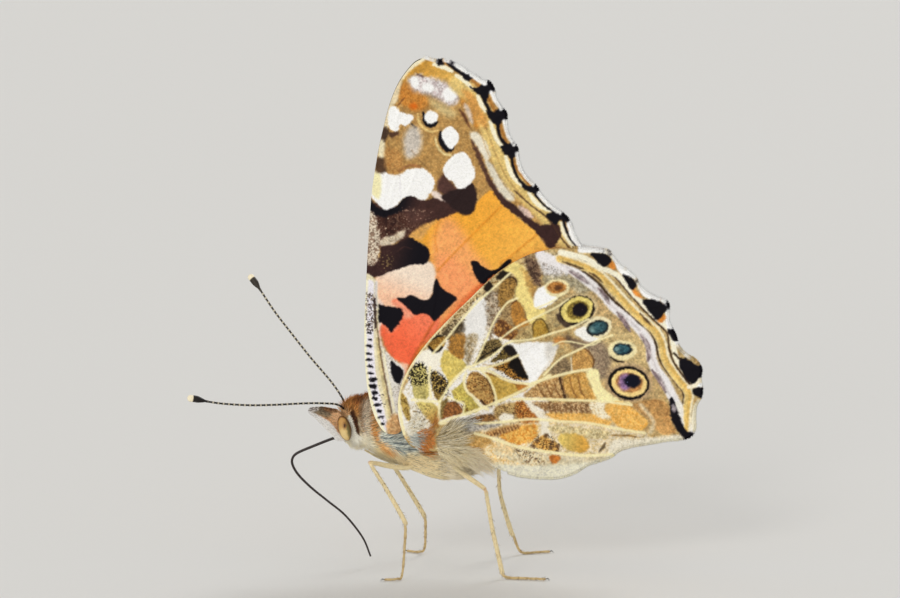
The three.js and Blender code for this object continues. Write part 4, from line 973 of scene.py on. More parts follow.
def hindwing_margin(p):
    """Bands along the outer margin, from the inside out."""
    inner = [(540, 254), (558, 262), (575, 271), (590, 282), (603, 293), (612, 304), (622, 313), (635, 323),
        (645, 335), (651, 346), (652, 358), (656, 368), (663, 377), (669, 388), (674, 398), (682, 414),
        (690, 430)]
    p.stroke((240, 236, 236), inner, 10, soft=1.6)
    grey_dashes = [[(569, 270), (578, 275), (588, 282)], [(598, 287), (605, 295), (609, 303)], [(617, 311),
        (624, 320), (630, 330)], [(640, 333), (647, 343), (649, 354), (648, 360)], [(652, 369), (660, 379),
        (666, 391)]]
    for dash in grey_dashes:
        p.stroke((132, 114, 116), dash, 5.0, soft=1.2, taper=0.7)
    silver_line = [(560, 262), (590, 283), (612, 305), (640, 330), (650, 352), (660, 376), (670, 394)]
    p.stroke((198, 190, 190), silver_line, 2.0, soft=1.4, clear=0.7)
    inner_line = [(565, 261), (580, 268), (597, 281), (612, 298), (628, 311), (640, 322), (650, 330),
        (656, 342), (659, 356), (666, 368), (676, 381), (684, 392), (684, 404)]
    p.stroke((70, 52, 34), inner_line, 2.6, soft=1.0)
    middle = [(560, 257), (584, 265), (602, 276), (617, 292), (631, 307), (645, 320), (656, 330),
        (662, 342), (665, 356), (671, 367), (680, 379), (689, 391), (688, 404), (687, 416), (686, 430)]
    p.stroke((246, 236, 204), middle, 9.6, soft=1.1)
    p.stroke((222, 182, 100), [(c - 0.7, r + 0.7) for c, r in middle], 6.6, soft=1.4)
    p.stroke((240, 212, 136), [(c - 1.8, r + 1.8) for c, r in middle], 2.2, soft=1.4, clear=0.8)
    brown_dashes = [[(562, 260.5), (572, 264), (583, 268)], [(588, 271), (595, 275), (602, 281)],
        [(640, 312), (645, 318), (652, 325)]]
    for dash in brown_dashes:
        p.stroke((92, 70, 48), dash, 2.4, soft=1.0, taper=0.7)
    outer_line = [(577, 256), (597, 264), (615, 276), (628, 291), (643, 308), (656, 321), (667, 332),
        (669, 346), (674, 361), (684, 376), (693, 386)]
    p.stroke((66, 46, 30), outer_line, 1.9, soft=0.9)
    cream_line = [(560, 251), (584, 257), (600, 266), (618, 275), (630, 289), (645, 305), (658, 318),
        (670, 329), (673, 342), (677, 358), (688, 374), (697, 385)]
    p.stroke((250, 244, 220), cream_line, 5.4, soft=1.0)
    white_edge = [(580, 249), (600, 249), (612, 253), (622, 270), (636, 276), (644, 292), (660, 299),
        (668, 306), (668, 320), (676, 338), (686, 352), (698, 358), (704, 368), (700, 384)]
    p.stroke(WHITE, white_edge, 6.0, soft=1.0)
    orange_glows = [[(608.5, 259), (614, 262), (614.5, 269), (609, 266)], [(631, 285), (636, 289),
        (642, 297), (634, 293)], [(656, 316), (661, 312.5), (665.5, 315.5), (662, 321), (658, 320)],
        [(660, 300), (663, 303), (660, 305)]]
    for glow in orange_glows:
        p.area((224, 142, 60), glow, soft=1.3)
    black_blocks = [[(590, 253), (599, 252), (607, 254), (611, 259), (607, 264), (603, 266), (597, 261)],
        [(622, 274), (628, 275), (634, 279), (636, 285), (632, 289), (627, 283)], [(642, 299), (651, 298),
        (661, 301), (667, 306), (664, 312), (657, 319), (650, 312)], [(664, 299), (668, 299), (672, 305),
        (668, 308)], [(667, 328), (672, 329), (678, 337), (674, 340), (670, 335)], [(680, 357), (690, 359),
        (697, 364), (704, 367), (703, 374), (697, 382), (692, 383), (684, 375), (680, 366)], [(692, 390),
        (699, 386), (704, 391), (704, 398), (696, 395)]]
    for block in black_blocks:
        p.area(INK, block, soft=1.0)
    front_dash = [(606, 249), (610, 253)]
    p.stroke(INK, front_dash, 2.6)
    pale_dash = [(689, 386), (696, 384), (701, 378)]
    p.stroke((250, 240, 214), pale_dash, 3.6)
    brown_dash = [(674, 352), (680, 358)]
    p.stroke((60, 44, 30), brown_dash, 2.0)
    cream_corner = [(697, 400), (702, 402), (700, 430), (693, 430), (692, 414)]
    p.area((247, 240, 214), cream_corner, soft=1.2)
    pale_gap = [(676, 400), (683, 404), (684, 420), (684, 428), (678, 418), (674, 406)]
    p.area((240, 236, 226), pale_gap, soft=1.2)
    corner_mark = [(670, 397), (674, 399), (678, 410), (682, 420), (687, 430), (696, 432), (695, 437),
        (688, 439), (681, 434), (675, 425), (671, 415)]
    p.area(INK, corner_mark, soft=1.0)
    p.spot((150, 140, 144), 674, 407, 2.2, 4.2, tilt=-14, soft=1.2)


def hindwing_inner_fold(p):
    """The pale fold of the inner margin."""
    pale_fold = [(478, 462), (520, 464), (560, 463), (600, 458), (612, 452), (640, 446), (660, 440),
        (684, 440), (640, 470), (560, 486), (500, 478)]
    p.area((240, 236, 212), pale_fold, soft=2.2, grain=(226, 222, 204), share=0.35)
    fold_shade = [(500, 440), (540, 452), (600, 454), (640, 442), (684, 437), (640, 450), (560, 466),
        (500, 456)]
    p.area((222, 216, 190), fold_shade, soft=2.5, clear=0.5)
    creases = [((500, 466), (484, 476)), ((520, 466), (508, 480)), ((545, 466), (532, 482)), ((570, 464),
        (560, 482)), ((594, 460), (588, 474))]
    for start, end in creases:
        p.stroke((206, 200, 180), [start, end], 1.6, soft=1.6, clear=0.5)
    orange_spot = [(549, 454.5), (556, 453), (561, 456), (557, 461.5), (551, 461.5)]
    p.area((208, 128, 56), orange_spot, soft=1.4, ragged=1.0, grain=(176, 104, 48), share=0.4)
    fold_scales = [(516, 449), (530, 450), (544, 457), (542, 463), (526, 460)]
    p.specks((84, 58, 36), fold_scales, 0.4, size=1.0, soft=3)


def hindwing_lines(p):
    """Pale lines along the veins and across the cells."""
    line = (252, 240, 188)
    lines = [([(404, 432), (400, 410), (399, 396), (402, 382), (410, 366), (418, 350)], 3.4), ([(411, 364),
        (424, 346), (440, 328), (458, 308), (480, 288)], 2.2), ([(433, 352), (446, 338), (462, 318),
        (478, 300), (490, 290), (510, 272)], 2.2), ([(440, 421), (452, 416.5), (470, 411), (494, 402),
        (515, 393), (536, 382), (550, 374)], 2.8), ([(445.5, 391), (449, 384), (456, 376), (466, 367),
        (474, 364)], 2.4), ([(438, 421), (439, 412), (440, 400), (446, 390)], 2.2), ([(430, 366),
        (429, 380), (431, 396)], 2.4), ([(412, 398), (426, 399), (440, 400)], 2.4), ([(474, 364),
        (480, 352), (488, 334), (494, 320), (501, 309), (508, 301), (517, 297)], 2.0), ([(474, 364),
        (486, 358), (498, 350), (504, 344), (512, 340)], 2.0), ([(470, 368), (480, 367), (492, 365),
        (506, 360), (518, 354)], 2.4), ([(478, 368), (490, 370), (502, 377), (514, 381), (530, 383)], 2.6),
        ([(466, 372), (464, 380), (467, 390), (474, 396), (480, 404), (488, 408)], 2.6), ([(481, 369),
        (488, 376), (493, 386), (496, 396), (496, 404)], 2.2), ([(448, 396), (456, 399), (464, 402),
        (463, 412)], 1.8), ([(500, 338), (516, 326), (534, 317), (556, 306), (568, 298)], 2.0),
        ([(512, 340), (532, 338), (552, 332), (572, 326), (588, 318)], 2.2), ([(544, 374), (560, 358),
        (576, 350), (596, 340), (612, 334)], 2.2), ([(532, 382), (552, 376), (574, 370.5), (592, 368)],
        2.6), ([(512, 398), (540, 398), (570, 399), (600, 400), (632, 404)], 2.6), ([(440, 422),
        (470, 422), (500, 421), (530, 418), (560, 420), (590, 422), (620, 428), (645, 432)], 2.6),
        ([(475, 432), (490, 436), (504, 441), (520, 446), (545, 450), (580, 454), (612, 453)], 2.8),
        ([(553, 344), (566, 340), (590, 344), (600, 340)], 1.6), ([(536, 307), (552, 300), (562, 292)],
        1.6)]
    for points, width in lines:
        p.stroke(line, points, width, soft=0.9, ragged=0.25, clear=0.92)


def paint_hindwing(p):
    everywhere = [(380, 240), (720, 240), (720, 480), (380, 480)]
    p.area(TAN, everywhere, grain=(184, 152, 98), share=0.5)
    hindwing_ground(p)
    hindwing_front(p)
    hindwing_base_cells(p)
    hindwing_middle_cells(p)
    hindwing_outer_front(p)
    hindwing_eyespots(p)
    hindwing_outer_cells(p)
    hindwing_hind_part(p)
    hindwing_margin(p)
    hindwing_inner_fold(p)
    p.dust(0.46)
    hindwing_lines(p)


# The wings

FOREWING_OUTLINE = [(385, 431), (379.5, 424.5), (375, 416), (371.5, 406), (368.8, 395), (366.5, 382),
    (365, 366), (364.2, 348), (364, 330), (364.6, 310), (365.6, 290), (366.5, 270), (367.6, 250),
    (368.8, 230), (370.2, 210), (372, 190), (375, 170), (378.5, 150), (383, 130), (387.5, 112),
    (392.5, 97), (399, 83), (407, 71.5), (415.5, 62.5), (424, 58), (431, 58.5), (437.5, 60.5), (446, 59.5),
    (454, 63), (462, 66), (469, 71.5), (476, 75), (483, 80), (490, 82), (494.5, 89), (497, 98), (502, 107),
    (507, 113), (507.5, 122), (509, 132), (513.5, 141), (518, 148), (519.5, 158), (523, 169), (530, 179),
    (537, 186), (542, 193.5), (551, 203), (560, 210), (568, 217), (572.5, 224), (576, 234), (581, 243),
    (587, 251), (589, 260), (583, 267), (565, 280), (540, 299), (510, 325), (480, 352), (450, 380),
    (425, 404), (408, 421), (400, 431), (393, 433)]
HINDWING_OUTLINE = [(413, 446), (405, 437), (400.5, 425), (398, 412), (398, 398), (401, 384), (407, 370),
    (415, 357), (424, 345), (434, 333), (445, 321.5), (457, 309.5), (469, 298), (481, 286), (493, 275),
    (505, 266), (517, 259), (530, 253), (543, 249.5), (557, 247), (572, 246), (588, 246.5), (599, 248),
    (608, 250.5), (613, 254), (619, 262), (629, 269), (636, 276), (641, 284.5), (650, 292), (661, 297),
    (669, 302), (670, 310), (670, 319), (674, 329), (677.5, 336), (680, 345), (688, 353.5), (697, 359),
    (703, 368), (702, 377), (704, 388), (702.5, 397), (698, 405), (697, 417), (697, 428), (693, 436),
    (683, 440), (668, 441.5), (650, 444.5), (634, 447), (621, 450.5), (612, 457), (600, 461.5),
    (588, 465.5), (577, 472.5), (562, 478), (545, 479), (525, 477.5), (505, 471.5), (485, 463.5),
    (465, 456), (445, 451.5), (428, 449.5)]
FOREWING_VEINS = [[(387, 420), (380, 385), (375, 340), (373.5, 290), (374, 240), (376, 200)], [(391, 424),
    (386, 395), (381.5, 360), (379.5, 320), (379.5, 280), (381.5, 238)], [(381.5, 238), (385, 190),
    (392, 140), (405, 95), (421, 66)], [(385, 232), (393, 190), (406, 145), (430, 100), (462, 72)],
    [(396, 236), (405, 200), (424, 155), (453, 112), (486, 88)], [(416, 240), (427, 207), (446, 170),
    (474, 134), (500, 115)], [(436, 271), (432.5, 250), (437, 225), (449, 204), (472, 178), (495, 160),
    (512, 149)], [(396, 427), (402, 400), (411, 370), (421, 345), (429, 325), (434, 300), (436, 271)],
    [(436, 271), (455, 251), (475, 231), (500, 206), (520, 192), (532, 186)], [(429, 325), (450, 306),
    (475, 286), (497, 267), (515, 251), (537, 233), (562, 219)], [(381.5, 238), (396, 236), (416, 240),
    (436, 271)], [(400, 426), (440, 382), (480, 340), (530, 297), (581, 258)]]
HINDWING_VEINS = [[(439, 421), (437, 400), (431, 386), (430, 370), (437, 354), (455, 330), (480, 303),
    (510, 279), (550, 260), (604, 254)], [(437, 400), (448, 387), (459, 376), (470, 366)], [(470, 366),
    (480, 345), (490, 325), (501, 311), (515, 299), (540, 284), (575, 271), (609, 262)], [(478, 363),
    (494, 349), (512, 335), (535, 318), (560, 300), (595, 286), (630, 279)], [(482, 365), (497, 362),
    (513, 356), (530, 345), (547, 337), (562, 331), (582, 323), (605, 314), (635, 308), (663, 304)],
    [(533, 381), (545, 366), (554, 356), (567, 349), (583, 343), (600, 339), (640, 334), (671, 335)],
    [(439, 421), (455, 418), (471, 413), (487, 408), (500, 402), (513, 395), (523, 387), (533, 381)],
    [(482, 367), (496, 370), (505, 374), (514, 378), (533, 381)], [(533, 381), (545, 377), (560, 374),
    (576, 371), (600, 367), (650, 362), (697, 367)], [(513, 395), (525, 398), (560, 398), (600, 399),
    (650, 399), (697, 390)], [(446, 430), (470, 427), (490, 424), (512, 421.5), (545, 421), (580, 424),
    (615, 431), (650, 432), (687, 434)], [(462, 432), (485, 433), (510, 443), (540, 451), (575, 455),
    (602, 456)]]

# How far the wings lie from the middle plane, in millimetres. They are thinner and closer than the solids.
FOREWING_PLANE = 0.4
WING_STEP = 0.46
OPEN_STEP = 0.04
THORAX_SIDE = 2.75
ABDOMEN_SIDE = 2.2
TUCK = 0.35
# The rows above which they close over the thorax and over the abdomen, and the height they need for it
WING_ROOT_ROW = 428
ABDOMEN_TOP_ROW = 447
CLOSING_HEIGHT = 4.6
ABDOMEN_CLOSING_HEIGHT = 2.6
# The row below which the hindwing is tucked in
TUCK_ROW = 450
# The slanting line down to which the hindwing covers the forewing
COVER_COLUMN, COVER_ROW = 400, 437
COVER_SLOPE = 0.9
COVER_WIDTH = 38
# The columns over which the thorax and the abdomen stop holding the wings apart
THORAX_END = (455, 540)
ABDOMEN_END = (590, 668)


def forewing_plane(column, row):
    above = np.maximum(0, WING_ROOT_ROW - row) * PIXEL
    return FOREWING_PLANE + (THORAX_SIDE - FOREWING_PLANE) * bell(above, CLOSING_HEIGHT)


def hindwing_plane(column, row):
    """It lies over the forewing, stands off beside thorax and abdomen and is tucked in below them."""
    covered_row = COVER_ROW - (column - COVER_COLUMN) * COVER_SLOPE
    covering = 1 - fade(row, covered_row, covered_row + COVER_WIDTH)
    flat = FOREWING_PLANE + np.maximum(WING_STEP * covering, OPEN_STEP)
    above_root = np.maximum(0, WING_ROOT_ROW - row) * PIXEL
    above_abdomen = np.maximum(0, ABDOMEN_TOP_ROW - row) * PIXEL
    below = np.maximum(0, row - TUCK_ROW) * PIXEL
    near_thorax = bell(above_root, CLOSING_HEIGHT) * (1 - fade(column, *THORAX_END))
    near_abdomen = bell(above_abdomen, ABDOMEN_CLOSING_HEIGHT) * (1 - fade(column, *ABDOMEN_END))
    tucked = ABDOMEN_SIDE * (1 - TUCK * (below / ABDOMEN_CLOSING_HEIGHT) ** 2)
    beside_thorax = flat + (THORAX_SIDE + WING_STEP * covering - flat) * near_thorax
    return np.maximum(beside_thorax, flat + (tucked - flat) * near_abdomen)


# The membrane: point spacing, width of the fringe and of the plain edge round it, in pixels
GRID_STEP = 1.12
FRINGE_WIDTH = 2.6
PLAIN_EDGE = 0.3
OUTLINE_STEPS = 8
VEIN_STEPS = 6
EDGE_BLUR = 8
VEIN_WIDTH = 1.5
# Its thickness, veins and ripples, in millimetres
OUTER_SKIN = 0.09
INNER_SKIN = 0.07
VEIN_HEIGHT = 0.055
RIPPLE = 0.035
# Size in pixels and seed of the broad and the fine ripples
RIPPLE_NOISE = ((15, 5), (5, 6))


def evenly(curve, step):
    """Points at equal steps round a closed curve."""
    closed = np.vstack([curve, curve[:1]])
    run = lengths(closed)
    places = np.linspace(0, run[-1], max(8, round(run[-1] / step)), endpoint=False)
    return at_lengths(places, run, closed)


def inward(loop):
    """Unit directions in the image plane that point into a closed loop, one a point."""
    along = np.roll(loop, -1, axis=0) - np.roll(loop, 1, axis=0)
    along /= np.hypot(*along.T)[:, None]
    turned = np.c_[-along[:, 1], along[:, 0]]
    area = np.sum(loop[:, 0] * np.roll(loop[:, 1], -1) - np.roll(loop[:, 0], -1) * loop[:, 1])
    return turned if area > 0 else -turned


def distance_to_lines(column, row, lines, reach):
    """Distance from each point to the nearest of the curves, no more than the reach."""
    nearest = np.full(len(column), float(reach))
    for line in lines:
        p = spline(line, VEIN_STEPS)
        for a, b in zip(p, p[1:]):
            near = in_box(column, row, np.minimum(a, b) - reach, np.maximum(a, b) + reach)
            away = along_edges(column[near, None], row[near, None], a[None], b[None] - a)[1][:, 0]
            nearest[near] = np.minimum(nearest[near], away)
    return nearest


def inside_loop(column, row, loop):
    """Which points lie inside a closed loop."""
    inside = np.zeros(len(column), bool)
    for (ax, ay), (bx, by) in zip(loop, np.roll(loop, -1, axis=0)):
        if ay != by:
            inside ^= ((ay > row) != (by > row)) & (column < ax + (row - ay) / (by - ay) * (bx - ax))
    return inside


def grid_inside(border):
    """Points of a triangular grid inside a border, none of them close to it."""
    low, high = border.min(0), border.max(0)
    rows = np.arange(low[1], high[1], GRID_STEP * math.sqrt(0.75))
    columns = np.arange(low[0], high[0], GRID_STEP)
    column = (columns[None, :] + (np.arange(len(rows)) % 2)[:, None] * GRID_STEP / 2).ravel()
    row = np.repeat(rows, len(columns))
    keep = inside_loop(column, row, border)
    column, row = column[keep], row[keep]
    closed = np.vstack([border, border[:1]])
    keep = distance_to_lines(column, row, [closed], GRID_STEP) > GRID_STEP * 0.6
    return np.c_[column[keep], row[keep]]


class WingSheet:
    """The flat pattern of a wing: points, triangles and rim, which both faces and both sides share."""

    def __init__(self, outline, veins, fringe):
        border = self.lay_border(outline, fringe)
        self.lay_triangles(border)
        self.vein = bell(distance_to_lines(self.column, self.row, veins, VEIN_WIDTH * 3), VEIN_WIDTH)
        broad, fine = (lattice_noise(self.column, self.row, *looks) for looks in RIPPLE_NOISE)
        self.ripple = broad + 0.4 * fine

    def lay_border(self, outline, fringe):
        """The edge of the membrane, which leaves room for a fringe between two places of the outline."""
        curve = spline(outline, OUTLINE_STEPS, loop=True)
        start, end = (OUTLINE_STEPS * outline.index(place) for place in fringe)
        width = np.full(len(curve), PLAIN_EDGE)
        width[start:end] = FRINGE_WIDTH
        around = np.r_[width[-EDGE_BLUR:], width, width[:EDGE_BLUR]]
        blur = 2 * EDGE_BLUR + 1
        width = np.convolve(around, np.ones(blur) / blur, "valid")
        inner_curve = curve + inward(curve) * width[:, None]
        self.fringe_roots, self.fringe_tips = inner_curve[start:end], curve[start:end]
        return evenly(inner_curve, GRID_STEP)

    def lay_triangles(self, border):
        """Triangles over the border and a grid inside it, all turned the same way, and their outer edges."""
        points = np.vstack([border, grid_inside(border)])
        ring = [list(range(len(border)))]
        found = delaunay_2d_cdt([Vector(p) for p in points], [], ring, 1, 1e-6)
        places = np.array([tuple(p) for p in found[0]])
        self.column, self.row = places[:, 0], places[:, 1]
        triangles = np.array(found[2])
        a, b, c = (places[triangles[:, k]] for k in range(3))
        turn = (b[:, 0] - a[:, 0]) * (c[:, 1] - a[:, 1]) - (b[:, 1] - a[:, 1]) * (c[:, 0] - a[:, 0])
        triangles[turn < 0] = triangles[turn < 0][:, ::-1]
        self.triangles = triangles
        edges = np.vstack([triangles[:, [0, 1]], triangles[:, [1, 2]], triangles[:, [2, 0]]]).tolist()
        twins = {(a, b) for a, b in edges}
        self.rim = np.array([(a, b) for a, b in edges if (b, a) not in twins])


SCALE_JITTER = 0.022


def wing_map(column, row, shift=0.0):
    """Place on the unwrap of a wing: the outer face in the left half, the inner face in the right half."""
    return np.c_[shift + (column - 350) / 760, (row - 40) / 450]


def make_wing(name, sheet, plane, side, outer_paint, inner_paint, seed):
    """One wing as a thin closed sheet with raised veins and painted scales on both faces."""
    count = len(sheet.column)
    middle = plane(sheet.column, sheet.row) + sheet.ripple * RIPPLE
    outer = seen(sheet.column, sheet.row, -middle)
    inner = outer.copy()
    outer[:, 1] = side * (middle + OUTER_SKIN + sheet.vein * VEIN_HEIGHT)
    inner[:, 1] = side * (middle - INNER_SKIN - sheet.vein * VEIN_HEIGHT * 0.5)
    near, far = sheet.triangles, sheet.triangles[:, ::-1] + count
    a, b = sheet.rim[:, 0], sheet.rim[:, 1]
    wall = np.vstack([np.c_[a, a + count, b + count], np.c_[a, b + count, b]])
    faces = np.vstack([near, far, wall])
    if side > 0:
        faces = faces[:, ::-1]
    jitter = np.random.default_rng(seed).normal(1, SCALE_JITTER, (2 * count, 1))
    colours = np.vstack([outer_paint, inner_paint]) * jitter
    uv = np.vstack([wing_map(sheet.column, sheet.row, shift) for shift in (0.0, 0.5)])
    return solid_mesh(name, np.vstack([outer, inner]), faces, linear(np.clip(colours, 0, 255)), uv)


# Meshes

# The share of a map's width that a full turn takes
MAP_TURN = 0.97


def link(name, mesh, *materials):
    piece = bpy.data.objects.new(name, mesh)
    for material in materials:
        mesh.materials.append(material)
    bpy.context.collection.objects.link(piece)
    return piece


def dress(name, mesh, material, slot, *nodes):
    """A finished piece that rides on the body and may replace solids."""
    piece = link(name, mesh, material)
    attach(piece, "root")
    if nodes:
        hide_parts(*nodes)


def lay_map(mesh, uv, corners_a_face):
    """The OFBake map. Faces that cross the seam of a closed map stay whole, beyond its right edge."""
    layer = mesh.uv_layers.new(name="OFBake")
    corners = np.empty(len(mesh.loops), np.int32)
    mesh.loops.foreach_get("vertex_index", corners)
    spread = uv[corners].reshape(len(mesh.polygons), corners_a_face, 2)
    across = spread[:, :, 0]
    wraps = across.max(1) - across.min(1) > 0.5
    across += (wraps[:, None] & (across < 0.5)) * MAP_TURN
    layer.uv.foreach_set("vector", spread.astype(np.float32).ravel())


def solid_mesh(name, places, faces, colours=None, uv=None):
    """A smooth mesh from places in millimetres, with a paint attribute and a map."""
    mesh = bpy.data.meshes.new(name)
    mesh.vertices.add(len(places))
    mesh.vertices.foreach_set("co", np.ascontiguousarray(places * MM, np.float32).ravel())
    mesh.loops.add(faces.size)
    mesh.loops.foreach_set("vertex_index", np.ascontiguousarray(faces, np.int32).ravel())
    mesh.polygons.add(len(faces))
    mesh.polygons.foreach_set("loop_start", np.arange(0, faces.size, faces.shape[1], dtype=np.int32))
    mesh.update(calc_edges=True)
    mesh.validate()
    mesh.polygons.foreach_set("use_smooth", np.ones(len(mesh.polygons), bool))
    if colours is not None:
        layer = mesh.color_attributes.new("paint", "FLOAT_COLOR", "POINT")
        layer.data.foreach_set("color", np.c_[colours, np.ones(len(colours))].astype(np.float32).ravel())
    if uv is not None:
        lay_map(mesh, uv, faces.shape[1])
    return mesh


def rings_of(places, sides):
    """Place along the axis and turn round it, for each point of a row of rings."""
    turns = np.arange(sides) / sides * FULL_TURN
    return np.repeat(places, sides), np.tile(turns, len(places))


def tube_faces(rings, sides, flip=False):
    """Faces of a closed tube. Its two end points come after all of its rings."""
    faces, ring = [], np.arange(sides)
    after = (ring + 1) % sides
    for i in range(rings - 1):
        a, b = i * sides, (i + 1) * sides
        faces += [np.c_[a + ring, b + after, a + after], np.c_[a + ring, b + ring, b + after]]
    first, last = np.full(sides, rings * sides), np.full(sides, rings * sides + 1)
    a = (rings - 1) * sides
    faces += [np.c_[first, ring, after], np.c_[last, a + after, a + ring]]
    faces = np.vstack(faces)
    return faces[:, ::-1] if flip else faces


# Materials

GRAIN_RELIEF = 0.5


def new_material(name, **values):
    material = bpy.data.materials.new(name)
    material.use_nodes = True
    tree = material.node_tree
    shader = tree.nodes["Principled BSDF"]
    for label, value in values.items():
        shader.inputs[label.replace("_", " ")].default_value = value
    return material, tree, shader


def add_node(tree, kind, links=None, **values):
    """A shader node. Values set its own properties or unlinked inputs, links join inputs to outputs."""
    node = tree.nodes.new("ShaderNode" + kind)
    for label, value in values.items():
        if hasattr(node, label):
            setattr(node, label, value)
        else:
            node.inputs[label.replace("_", " ")].default_value = value
    for label, output in (links or {}).items():
        tree.links.new(output, node.inputs[label])
    return node


def grained(name, cell, spread, bump, **values):
    """A finish in the colours of the paint, broken into fine grains of that size in millimetres."""
    material, tree, shader = new_material(name, **values)
    paint = add_node(tree, "Attribute", attribute_name="paint")
    where = add_node(tree, "TexCoord")
    scaled = add_node(tree, "VectorMath", {0: where.outputs["Object"]}, operation="MULTIPLY")
    scaled.inputs[1].default_value = (1 / (cell * MM),) * 3
    cells = add_node(tree, "TexVoronoi", {"Vector": scaled.outputs[0]}, Scale=1.0)
    grain = add_node(tree, "SeparateColor", {"Color": cells.outputs["Color"]})
    light = {"Value": grain.outputs["Red"]}
    light = add_node(tree, "MapRange", light, To_Min=1 - spread, To_Max=1 + spread)
    factors = {0: paint.outputs["Color"], 1: light.outputs["Result"]}
    tinted = add_node(tree, "VectorMath", factors, operation="MULTIPLY")
    tree.links.new(tinted.outputs[0], shader.inputs["Base Color"])
    height = {"Height": cells.outputs["Distance"]}
    relief = add_node(tree, "Bump", height, Strength=bump, Distance=cell * MM * GRAIN_RELIEF)
    tree.links.new(relief.outputs["Normal"], shader.inputs["Normal"])
    return material


# The upper faces of the wings, which show only from above and behind

def paint_inside_ground(p):
    everywhere = [(340, 30), (720, 30), (720, 490), (340, 490)]
    p.area((226, 140, 74), everywhere, grain=(208, 122, 62))


def paint_hindwing_inside(p):
    paint_inside_ground(p)
    dark_root = [(390, 450), (400, 400), (430, 345), (500, 400), (560, 440), (560, 485), (420, 470)]
    p.area((120, 88, 66), dark_root, soft=14, grain=(96, 70, 52))
    eyespots = [(576, 309), (597, 327), (622, 349), (629, 381)]
    for column, row in eyespots:
        p.spot(INK, column, row, 7, 6)
    outer_band = [(590, 262), (616, 284), (642, 312), (664, 342), (684, 372), (690, 400)]
    p.stroke(INK, outer_band, 7, soft=1.5)


def paint_forewing_inside(p):
    paint_inside_ground(p)
    brown_root = [(370, 440), (366, 350), (400, 345), (440, 360), (420, 425)]
    p.area((110, 78, 58), brown_root, soft=12, grain=(84, 58, 44))
    dark_tip = [(368, 215), (400, 205), (440, 214), (480, 196), (520, 215), (560, 232), (600, 262),
        (600, 200), (520, 90), (430, 40), (370, 120)]
    p.area(INK, dark_tip, soft=2)
    white_spots = [((431, 117), (6, 6)), ((451, 138), (6, 9)), ((461, 170), (9, 13)), ((402, 118), (6, 7))]
    for place, size in white_spots:
        p.spot(WHITE, *place, *size)
    white_band = [(375, 172), (424, 170), (432, 186), (420, 197), (388, 206), (372, 192)]
    p.area(WHITE, white_band)
    cell_mark = [(396, 298), (434, 284), (456, 298), (434, 318), (408, 306)]
    p.area(INK, cell_mark)


# Hair, scales and fringes: each lock is a closed three-sided spike, bent a little along its length

LOCK_CORNERS = np.deg2rad([90, 210, 330])
LOCK_PATCH = 0.0015
LOCK_SINK = 0.6
LOCK_NARROWING = 0.75
# Painted shade and painted light: each lock's colour is darkened at its root and brightened towards its tip
ROOT_PAINTED_SHADE, TIP_PAINTED_LIGHT = 0.94, 1.16


def unit(v):
    return v / np.maximum(np.linalg.norm(v, axis=-1, keepdims=True), TINY)


def lock_faces(rings):
    """Faces of one lock: a closed root, walls between its rings and a point."""
    faces = [(0, 2, 1)]
    for ring in range(rings - 1):
        for k in range(3):
            a, b = 3 * ring + k, 3 * ring + (k + 1) % 3
            faces += [(a, b, b + 3), (a, b + 3, a + 3)]
    last = 3 * (rings - 1)
    faces += [(last + k, last + (k + 1) % 3, 3 * rings) for k in range(3)]
    return np.array(faces)


def locks(roots, along, normal, length, width, colours, uv, rings=2, lift=0.2, droop=0.25, flat=0.7):
    """Places, faces, colours and map of many locks. They leave the surface at a lift and bend back to it."""
    count, size = len(roots), 3 * rings + 1
    length, width = np.broadcast_to(length, count)[:, None], np.broadcast_to(width, count)[:, None]
    along, normal = unit(along), unit(normal)
    side = unit(np.cross(along, normal))
    places, shades, maps = [], [], []
    for ring in range(rings):
        t = ring / rings
        middle = roots + along * length * t + normal * length * (lift * t - droop * t * t)
        if ring == 0:
            middle = middle - normal * width * LOCK_SINK
        thick = width * (1 - LOCK_NARROWING * t)
        for turn in LOCK_CORNERS:
            places.append(middle + side * thick * math.cos(turn) + normal * thick * flat * math.sin(turn))
            # painted shade at the root, painted light towards the tip
            shades.append(colours * (ROOT_PAINTED_SHADE + (TIP_PAINTED_LIGHT - ROOT_PAINTED_SHADE) * t))
            maps.append(uv + LOCK_PATCH * np.array([math.cos(turn), math.sin(turn)]) * (1 - 0.7 * t))
    places.append(roots + along * length + normal * length * (lift - droop))
    shades.append(colours * TIP_PAINTED_LIGHT)
    maps.append(uv)
    faces = np.arange(count)[:, None, None] * size + lock_faces(rings)[None, :, ::-1]
    stacks = (np.stack(part, axis=1) for part in (places, shades, maps))
    places, shades, maps = (stack.reshape(count * size, -1) for stack in stacks)
    return places, faces.reshape(-1, 3), shades, maps


def painted_mesh(name, parts):
    """A mesh of many small pieces. Paint brighter than white, a painted light on pale hair, is brought back
    to it and keeps its hue.
    """
    places, faces, colours, maps = zip(*parts)
    starts = np.cumsum([0] + [len(p) for p in places[:-1]])
    faces = np.vstack([f + start for f, start in zip(faces, starts)])
    colours = np.clip(np.vstack(colours), 0, None)
    colours = colours * np.minimum(1, 255 / np.maximum(colours.max(axis=1, keepdims=True), 1))
    return solid_mesh(name, np.vstack(places), faces, linear(colours), np.vstack(maps))


# Vanes of the fringe: step, jitter and reach along the rim in pixels, the rest in millimetres
FRINGE_STEP = 0.4
FRINGE_JITTER = 0.2
RIM_REACH = 6
FRINGE_LENGTH = 0.3
FRINGE_THICK = 0.05
FRINGE_OUT = 0.035
FRINGE_SINK = 0.06
# Seeds of the marks of the outer and the inner face, of the scales' tones and of the fringe
OUTER_SEED, INNER_SEED = 100, 700
WING_SEED, FRINGE_SEED = 11, 21


